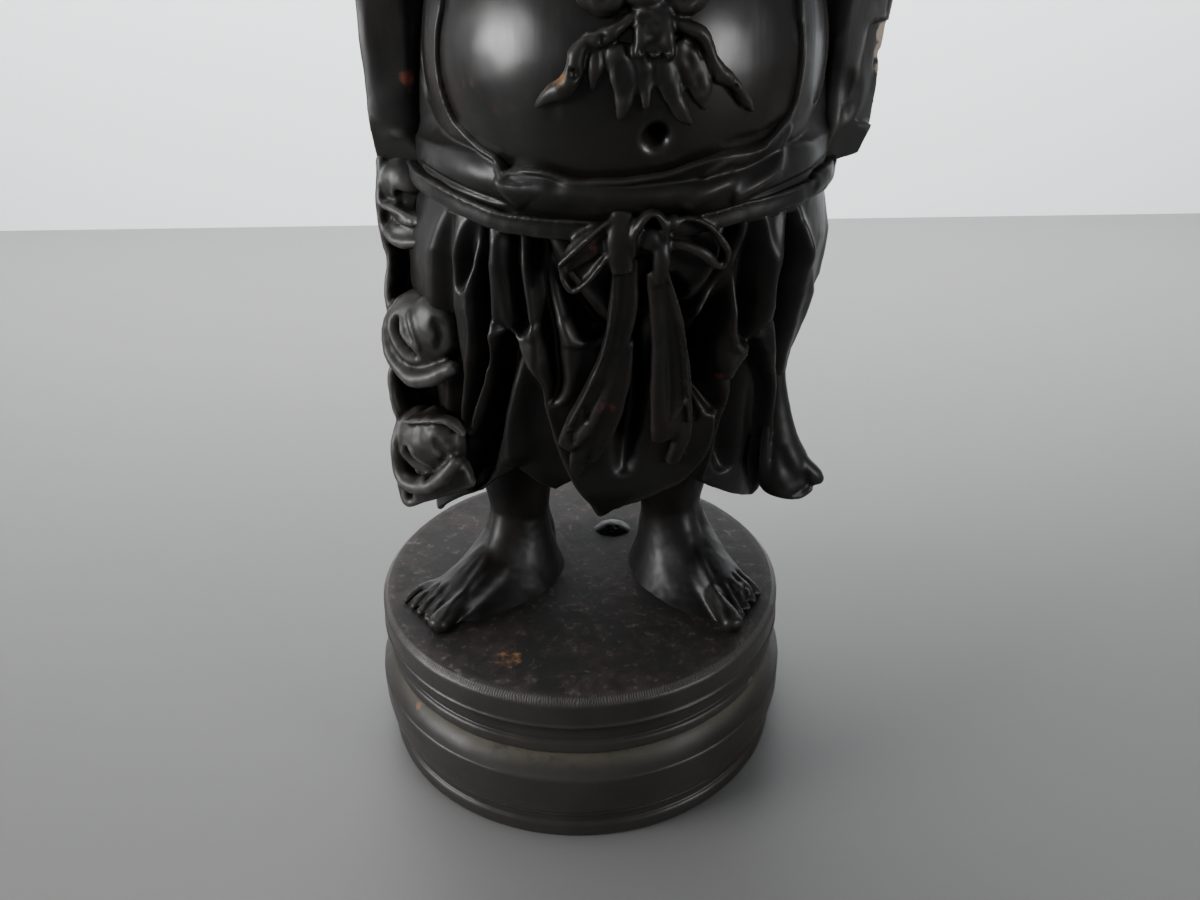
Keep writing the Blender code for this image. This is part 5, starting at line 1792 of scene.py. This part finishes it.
@dataclass
class Foot(Carving):
    """A leg and a bare, turned-out foot whose inner side runs broadly into the plinth."""

    name: str = "right_foot"
    grain: float = 0.00071
    softening: int = 4
    waves: Rows = ((1.0, 0.035), (0.35, 0.012))
    leg: Row = (-3.0, 0.5)
    back: Rows = ((-2.7, 2.0), (-3.3, 0.4), (-4.9, -1.6), (-6.4, -3.2))
    big_toe: Row = (-6.7, -5.1)
    small_toe: Row = (-8.5, -2.9)
    slope: Rows = ((-2.4, 1.0), (-3.9, -1.9), (-5.7, -4.2))
    root: Rows = ((-2.9, 2.9), (-4.6, 1.9), (-5.5, -0.2), (-6.9, -2.4), (-6.9, -4.4), (-5.4, -4.9), (-3.5, -3.9),
                  (-1.6, -2.2), (-0.7, 0.2), (-1.4, 2.3), (-2.9, 2.9))

    def toe(self, share: float) -> Array:
        """The place of a toe's tip, from the big toe at 0 to the small one at 1."""
        return (1 - share) * np.array(self.big_toe) + share * np.array(self.small_toe)

    def shape(self, forms: Forms) -> None:
        """Leg, instep, toes and the broad slope on the inner side."""
        up = (0.0, 0.0, 1.0)
        x, y = self.leg
        forms.strap((
            (x, y + 0.4, -0.2, 1.6, 1.6), (x, y + 0.2, 1.6, 1.45, 1.5), (x, y, 4.0, 1.55, 1.55),
            (x, y, 10.0, 2.6, 2.6),
        ), sides=40)
        heel, arch, ball, toes = np.array(self.back)
        ahead = (toes - arch) / np.linalg.norm(toes - arch)
        instep = 0.6 * arch + 0.4 * np.array(self.leg)
        forms.strap((
            (x, y, 6.5, 1.4, 1.4), (x, y, 4.0, 1.45, 1.4), (*instep, 2.5, 1.55, 1.35),
            (*(arch + 0.6 * ahead), 1.5, 1.6, 1.15), (*ball, 0.75, 1.5, 0.95), (*toes, 0.3, 1.35, 0.8),
        ), steps=60, sides=36, facing=(*ahead, 1.0))
        ankle = 0.5 * heel + 0.5 * np.array(self.leg)
        forms.strap((
            (x, y, 5.4, 1.45, 1.45), (*ankle, 3.0, 1.3, 1.3), (*(0.8 * heel + 0.2 * ankle), 1.2, 1.4, 1.4),
            (*(0.8 * heel + 0.2 * ankle), -0.2, 1.5, 1.5),
        ), sides=32)
        base = spline(self.root, 48)[:-1]
        turn = np.arctan2(base[:, 1] - y, base[:, 0] - x)
        trunk = np.stack([x + 1.4 * np.cos(turn), y + 1.4 * np.sin(turn)], -1)
        share = np.linspace(0, 1, 24)[:, None, None]
        inward = 1 - (1 - share) ** 2.6
        flat = base * (1 - inward) + trunk * inward
        forms.loft(np.concatenate([flat, np.broadcast_to(5.0 * share - 0.25, (24, len(base), 1))], -1))
        for toe, share in enumerate((0.0, 0.3, 0.54, 0.77, 1.0)):
            tip = self.toe(share)
            root = tip + 0.34 * (arch - tip)
            knuckle = tip + 0.14 * (arch - tip)
            size = 0.5 if toe == 0 else 0.27 - 0.02 * toe
            forms.strap((
                (*root, 0.6, size, size), (*knuckle, 0.62 if toe else 0.5, size, size * 1.05),
                (*tip, size * 0.75, size * 1.06, size * 0.95),
            ), steps=20, sides=20, facing=up)

    def marks(self) -> list[Stroke]:
        """Cuts between the toes, their nails, the tendons, and the arris along the inner side."""
        made = []
        arch = np.array(self.back[1])
        for share in (0.17, 0.42, 0.66, 0.89):
            tip = self.toe(share)
            root = tip + 0.26 * (arch - tip)
            made.append(Stroke(((*root, 1.25), (*(0.5 * (tip + root)), 0.9), (*tip, 0.45)), 0.12, 0.3, (0.3, 0.05)))
        for share, size in ((0.0, 0.2), (0.3, 0.1), (0.54, 0.1), (0.77, 0.09)):
            tip = self.toe(share)
            nail = tip + 0.02 * (arch - tip)
            made.append(Stroke(((*nail, 0.85 if share == 0 else 0.55),), size, 0.06))
            tendon = tip + 0.38 * (arch - tip)
            high = arch + 0.1 * (tip - arch)
            made.append(Stroke(((*high, 2.2), (*(0.5 * (high + tendon)), 1.75), (*tendon, 1.3)), 0.18, -0.07))
        inner = np.array(self.slope)
        made.append(Stroke(((*(0.6 * arch + 0.4 * inner[0]), 3.4), (*(0.55 * arch + 0.45 * inner[1]), 2.2),
                            (*(0.5 * (np.array(self.back[2]) + inner[1])), 1.5),
                            (*(0.6 * np.array(self.big_toe) + 0.4 * inner[2]), 0.9)), 0.2, -0.16, (0.2, 0.1)))
        return made


@dataclass
class LeftFoot(Foot):
    """The foot on the figure's left."""

    name: str = "left_foot"
    leg: Row = (4.6, 0.5)
    back: Rows = ((4.5, 2.0), (5.1, 0.4), (6.3, -1.8), (7.3, -3.5))
    big_toe: Row = (7.0, -5.6)
    small_toe: Row = (8.7, -3.0)
    slope: Rows = ((4.2, 1.0), (5.2, -2.0), (6.3, -4.4))
    root: Rows = ((4.5, 2.9), (6.2, 1.9), (7.1, -0.2), (8.2, -2.6), (7.6, -4.7), (6.3, -5.2), (4.6, -4.2),
                  (3.1, -2.4), (2.4, 0.2), (3.0, 2.3), (4.5, 2.9))


@dataclass
class Boss(Carving):
    """The rough lump left standing on the plinth between the heels."""

    name: str = "rough_boss"
    grain: float = 0.0004
    waves: Rows = ((0.4, 0.04),)

    def shape(self, forms: Forms) -> None:
        """A low lump."""
        forms.ball((1.8, 3.5, -0.3), (1.1, 0.85, 0.75))

    def marks(self) -> list[Stroke]:
        """Rows of short cuts across the lump."""
        made = []
        for row in range(3):
            z = 0.08 + 0.14 * row
            for k in range(4):
                x = 1.0 + 0.45 * k + 0.08 * (row % 2)
                made.append(Stroke(((x, 2.82 + 0.14 * row, z), (x + 0.28, 2.82 + 0.14 * row, z + 0.02)), 0.07, 0.12))
        return made


@dataclass
class Plinth:
    """The round plinth, turned with a rim, a cove, a roll, a wide band and a foot."""

    name: str = "turned_plinth"
    radius: float = 0.060
    columns: int = 400
    ring_step: float = 0.0022
    bevel: float = 0.0018
    mouldings: Rows = (
        (0.0600, 0.0462, 0.00006, 4), (0.0600, 0.0400, 0.00010, 8), (0.0604, 0.0394, 0.00008, 3),
        (0.0599, 0.0388, 0.00008, 3), (0.0583, 0.0334, -0.0005, 8), (0.0583, 0.0332, 0.0, 2),
        (0.0594, 0.0318, 0.0003, 5), (0.0593, 0.0299, 0.00015, 4), (0.0574, 0.0284, 0.0003, 5),
        (0.0578, 0.0272, 0.0, 3), (0.0617, 0.0230, -0.0004, 7), (0.0623, 0.0223, 0.0001, 4),
        (0.0624, 0.0160, 0.0001, 7), (0.0616, 0.0102, 0.00025, 8), (0.0600, 0.0094, 0.0, 3),
        (0.0608, 0.0085, 0.0002, 4), (0.0600, 0.0076, 0.0002, 4), (0.0599, 0.0050, 0.0, 4),
        (0.0608, 0.0038, 0.0002, 5), (0.0608, 0.0008, 0.00005, 4), (0.0601, 0.0, 0.0001, 3),
    )
    spots: tuple[Spot, ...] = (
        Spot("ochre", (-3.3, -7.0, 0.0), 0.9, 0.46), Spot("ochre", (-8.0, -6.0, -3.6), 0.28, 0.9),
        Spot("red", (-9.7, -1.6, -2.0), 0.7, 0.6), Spot("red", (9.6, -2.6, -2.0), 0.7, 0.7),
        Spot("pale", (8.1, -5.9, -2.8), 0.35, 0.45), Spot("red", (-1.5, -5.5, 0.0), 1.2, 0.28),
        Spot("red", (2.5, -7.5, 0.0), 1.5, 0.28))

    def profile(self) -> Array:
        """The outline from the middle of the top down to the middle of the underside.

        Returns:
            Rows of radius and height in metres.
        """
        rim = self.radius - self.bevel
        points = [(r, PLINTH_TOP) for r in np.linspace(0.0006, rim, round(rim / self.ring_step))]
        for radius, height, bulge, steps in self.mouldings:
            start = np.array(points[-1])
            end = np.array((radius, height))
            run = end - start
            out = np.array((-run[1], run[0])) / max(float(np.linalg.norm(run)), 1e-9)
            for share in np.linspace(0, 1, int(steps) + 1)[1:]:
                points.append(tuple(start + share * run + 4 * bulge * share * (1 - share) * out))
        points += [(0.03, 0.0), (0.0006, 0.0)]
        return np.array(points)

    def build(self, finish: bpy.types.Material) -> bpy.types.Object:
        """Turns, roughens and dresses the plinth.

        Args:
            finish: its material.

        Returns:
            The piece.
        """
        outline = self.profile()
        angle = np.linspace(0, 2 * math.pi, self.columns, endpoint=False)
        radius, height = outline[:, :1], outline[:, 1:]
        rings = np.stack([radius * np.sin(angle), -radius * np.cos(angle), height + 0 * angle], -1)
        piece = net(self.name, to_squares(rings))
        self.roughen(piece.data)
        dress(piece, finish, self.spots, 0.0016)
        return piece

    def roughen(self, mesh: bpy.types.Mesh) -> None:
        """Wears the turned surfaces unevenly and stores where they are rough or grimy.

        Args:
            mesh: the plinth's mesh.
        """
        points = read_points(mesh)
        normal = read_points(mesh, "normal")
        squares = to_squares(points)
        around_axis = np.hypot(points[:, 0], points[:, 1])
        top = np.clip((points[:, 2] - (PLINTH_TOP - 0.0003)) / 0.0003, 0, 1)
        grime = np.exp(-(((points[:, 2] - 0.0272) / 0.0022) ** 2)) * (around_axis > 0.05)
        rim = np.exp(-(((points[:, 2] - 0.0472) / 0.0007) ** 2)) * (around_axis > 0.0575)
        move = 0.00012 * unevenness(squares, 1.3, 9.1) + 0.00005 * unevenness(squares, 0.3, 2.3)
        move += top * 0.00010 * unevenness(squares, 0.45, 5.5) - 0.00006 * rim * np.abs(
            unevenness(squares, 0.22, 1.5))
        move[points[:, 2] < 0.0005] = 0.0
        write_points(mesh, points + normal * move[:, None])
        for name, values in (("top", top), ("grime", grime), ("rim", rim)):
            store(mesh, name, values)


@dataclass(frozen=True)
class Studio:
    """The pale floor and wall, the soft lights, and the camera at the photograph's view."""

    lens: float = 27.0
    distance: float = 0.23208
    height: float = 0.20748
    pitch: float = 27.20
    roll: float = -0.48
    yaw: float = 1.57
    wall: float = 0.667
    floor_colour: Row = (0.165, 0.166, 0.162)
    wall_colour: Row = (0.90, 0.92, 0.95)

    def camera(self) -> None:
        """Sets the camera up."""
        pitch, roll, yaw = (math.radians(one) for one in (self.pitch, self.roll, self.yaw))
        ahead = Vector((math.sin(yaw) * math.cos(pitch), math.cos(yaw) * math.cos(pitch), -math.sin(pitch)))
        up = Vector((math.sin(yaw) * math.sin(pitch), math.cos(yaw) * math.sin(pitch), math.cos(pitch)))
        right = ahead.cross(up)
        across = math.cos(roll) * right + math.sin(roll) * up
        upward = math.cos(roll) * up - math.sin(roll) * right
        place = Matrix((across, upward, -ahead)).transposed().to_4x4()
        place.translation = Vector((0.0, -self.distance, self.height))
        data = bpy.data.cameras.new("camera")
        data.lens = self.lens
        data.sensor_width = 36.0
        data.clip_start = 0.01
        camera = linked("camera", data)
        camera.matrix_world = place
        bpy.context.scene.camera = camera

    def panel(self, name: str, corners: Rows, colour: Row, roughness: float) -> None:
        """Adds one flat sheet of the stage.

        Args:
            name: its name.
            corners: its four corners in metres.
            colour: its colour.
            roughness: its roughness.
        """
        mesh = bpy.data.meshes.new(name)
        mesh.from_pydata(corners, [], [(0, 1, 2, 3)])
        material = bpy.data.materials.new(name)
        graph = Graph(material)
        shader = graph.add("ShaderNodeBsdfPrincipled", {},
                           {"Base Color": (*colour, 1.0), "Roughness": roughness, "Specular IOR Level": 0.3})
        graph.add("ShaderNodeOutputMaterial", {}, {"Surface": shader})
        mesh.materials.append(material)
        sheet = linked(name, mesh)

    def light(self, name: str, place: Row, aim: Row, size: Row, power: float, spread: float = 180.0) -> None:
        """Adds one soft light.

        Args:
            name: its name.
            place: where it is, in metres.
            aim: what it points at.
            size: its width and height.
            power: its power in watts.
            spread: how widely it shines, in degrees.
        """
        data = bpy.data.lights.new(name, "AREA")
        data.shape = "RECTANGLE"
        data.size, data.size_y = size
        data.energy = power
        data.spread = math.radians(spread)
        lamp = linked(name, data)
        lamp.location = place
        lamp.rotation_euler = (Vector(aim) - Vector(place)).to_track_quat("-Z", "Y").to_euler()

    def build(self) -> None:
        """Adds the floor, wall, lights and camera."""
        self.camera()
        wide = 3.0
        self.panel("floor", ((-wide, -wide, 0), (wide, -wide, 0), (wide, self.wall, 0), (-wide, self.wall, 0)),
                   self.floor_colour, 0.45)
        self.panel("wall", ((-wide, self.wall, 0), (wide, self.wall, 0), (wide, self.wall, 2), (-wide, self.wall, 2)),
                   self.wall_colour, 0.8)
        world = bpy.data.worlds.new("studio")
        bpy.context.scene.world = world
        world.use_nodes = True
        background = world.node_tree.nodes["Background"]
        background.inputs["Color"].default_value = (0.93, 0.96, 1.0, 1.0)
        background.inputs["Strength"].default_value = 0.25
        self.light("left window", (-0.88, -0.27, 0.33), (0.0, 0.0, 0.24), (0.42, 0.30), 2.2, 70.0)
        self.light("right window", (0.77, -0.57, 0.27), (0.0, 0.0, 0.24), (0.26, 0.24), 0.8, 70.0)
        self.light("back window", (-0.1, 0.45, 1.05), (-0.05, 0.42, 0.0), (1.4, 0.4), 13.0)
        self.light("wall wash", (0.0, 0.25, 0.75), (0.0, 0.667, 0.12), (1.8, 0.2), 14.5, 110.0)


def main() -> None:
    """Builds the studio and the statue, piece by piece."""
    logging.basicConfig(level=logging.INFO, format="%(message)s")
    Studio().build()
    figure = WaxedWood(Part.FIGURE).material()
    # Painted light: the sleeves and side folds take a lighter stain and a brighter worn colour rubbed on more strongly,
    # standing in for the light they catch; the rubbed edges are partly real wear and partly painted highlight.
    folds = WaxedWood(Part.FOLDS_PAINTED_LIT, stain=(0.0120, 0.0115, 0.0108), worn=(0.0650, 0.0620, 0.0580), roughness=0.5,
                      gloss=0.32, rubbed=0.6).material()
    skin = WaxedWood(Part.SKIN, roughness=0.32, gloss=0.36, dusty=0.1, rubbed=0.15, tooling=0.18).material()
    plinth = WaxedWood(Part.PLINTH, roughness=0.40, gloss=0.26, dusty=0.3, stain=(0.0240, 0.0225, 0.0205)).material()
    Plinth().build(plinth)
    for carving in (Skirt(), Robe(), Chest(), Belt(), Tie(), HemFlare(), Foot(), LeftFoot(), Boss()):
        carving.build(figure)
    # These pieces take the finish with painted light in its lighter stain and brighter edges.
    for carving in (RightSleeve(), LeftSleeve(), Swag()):
        carving.build(folds)
    for carving in (Belly(), Head(), Hands()):
        carving.build(skin)


if __name__ == "__main__":
    main()
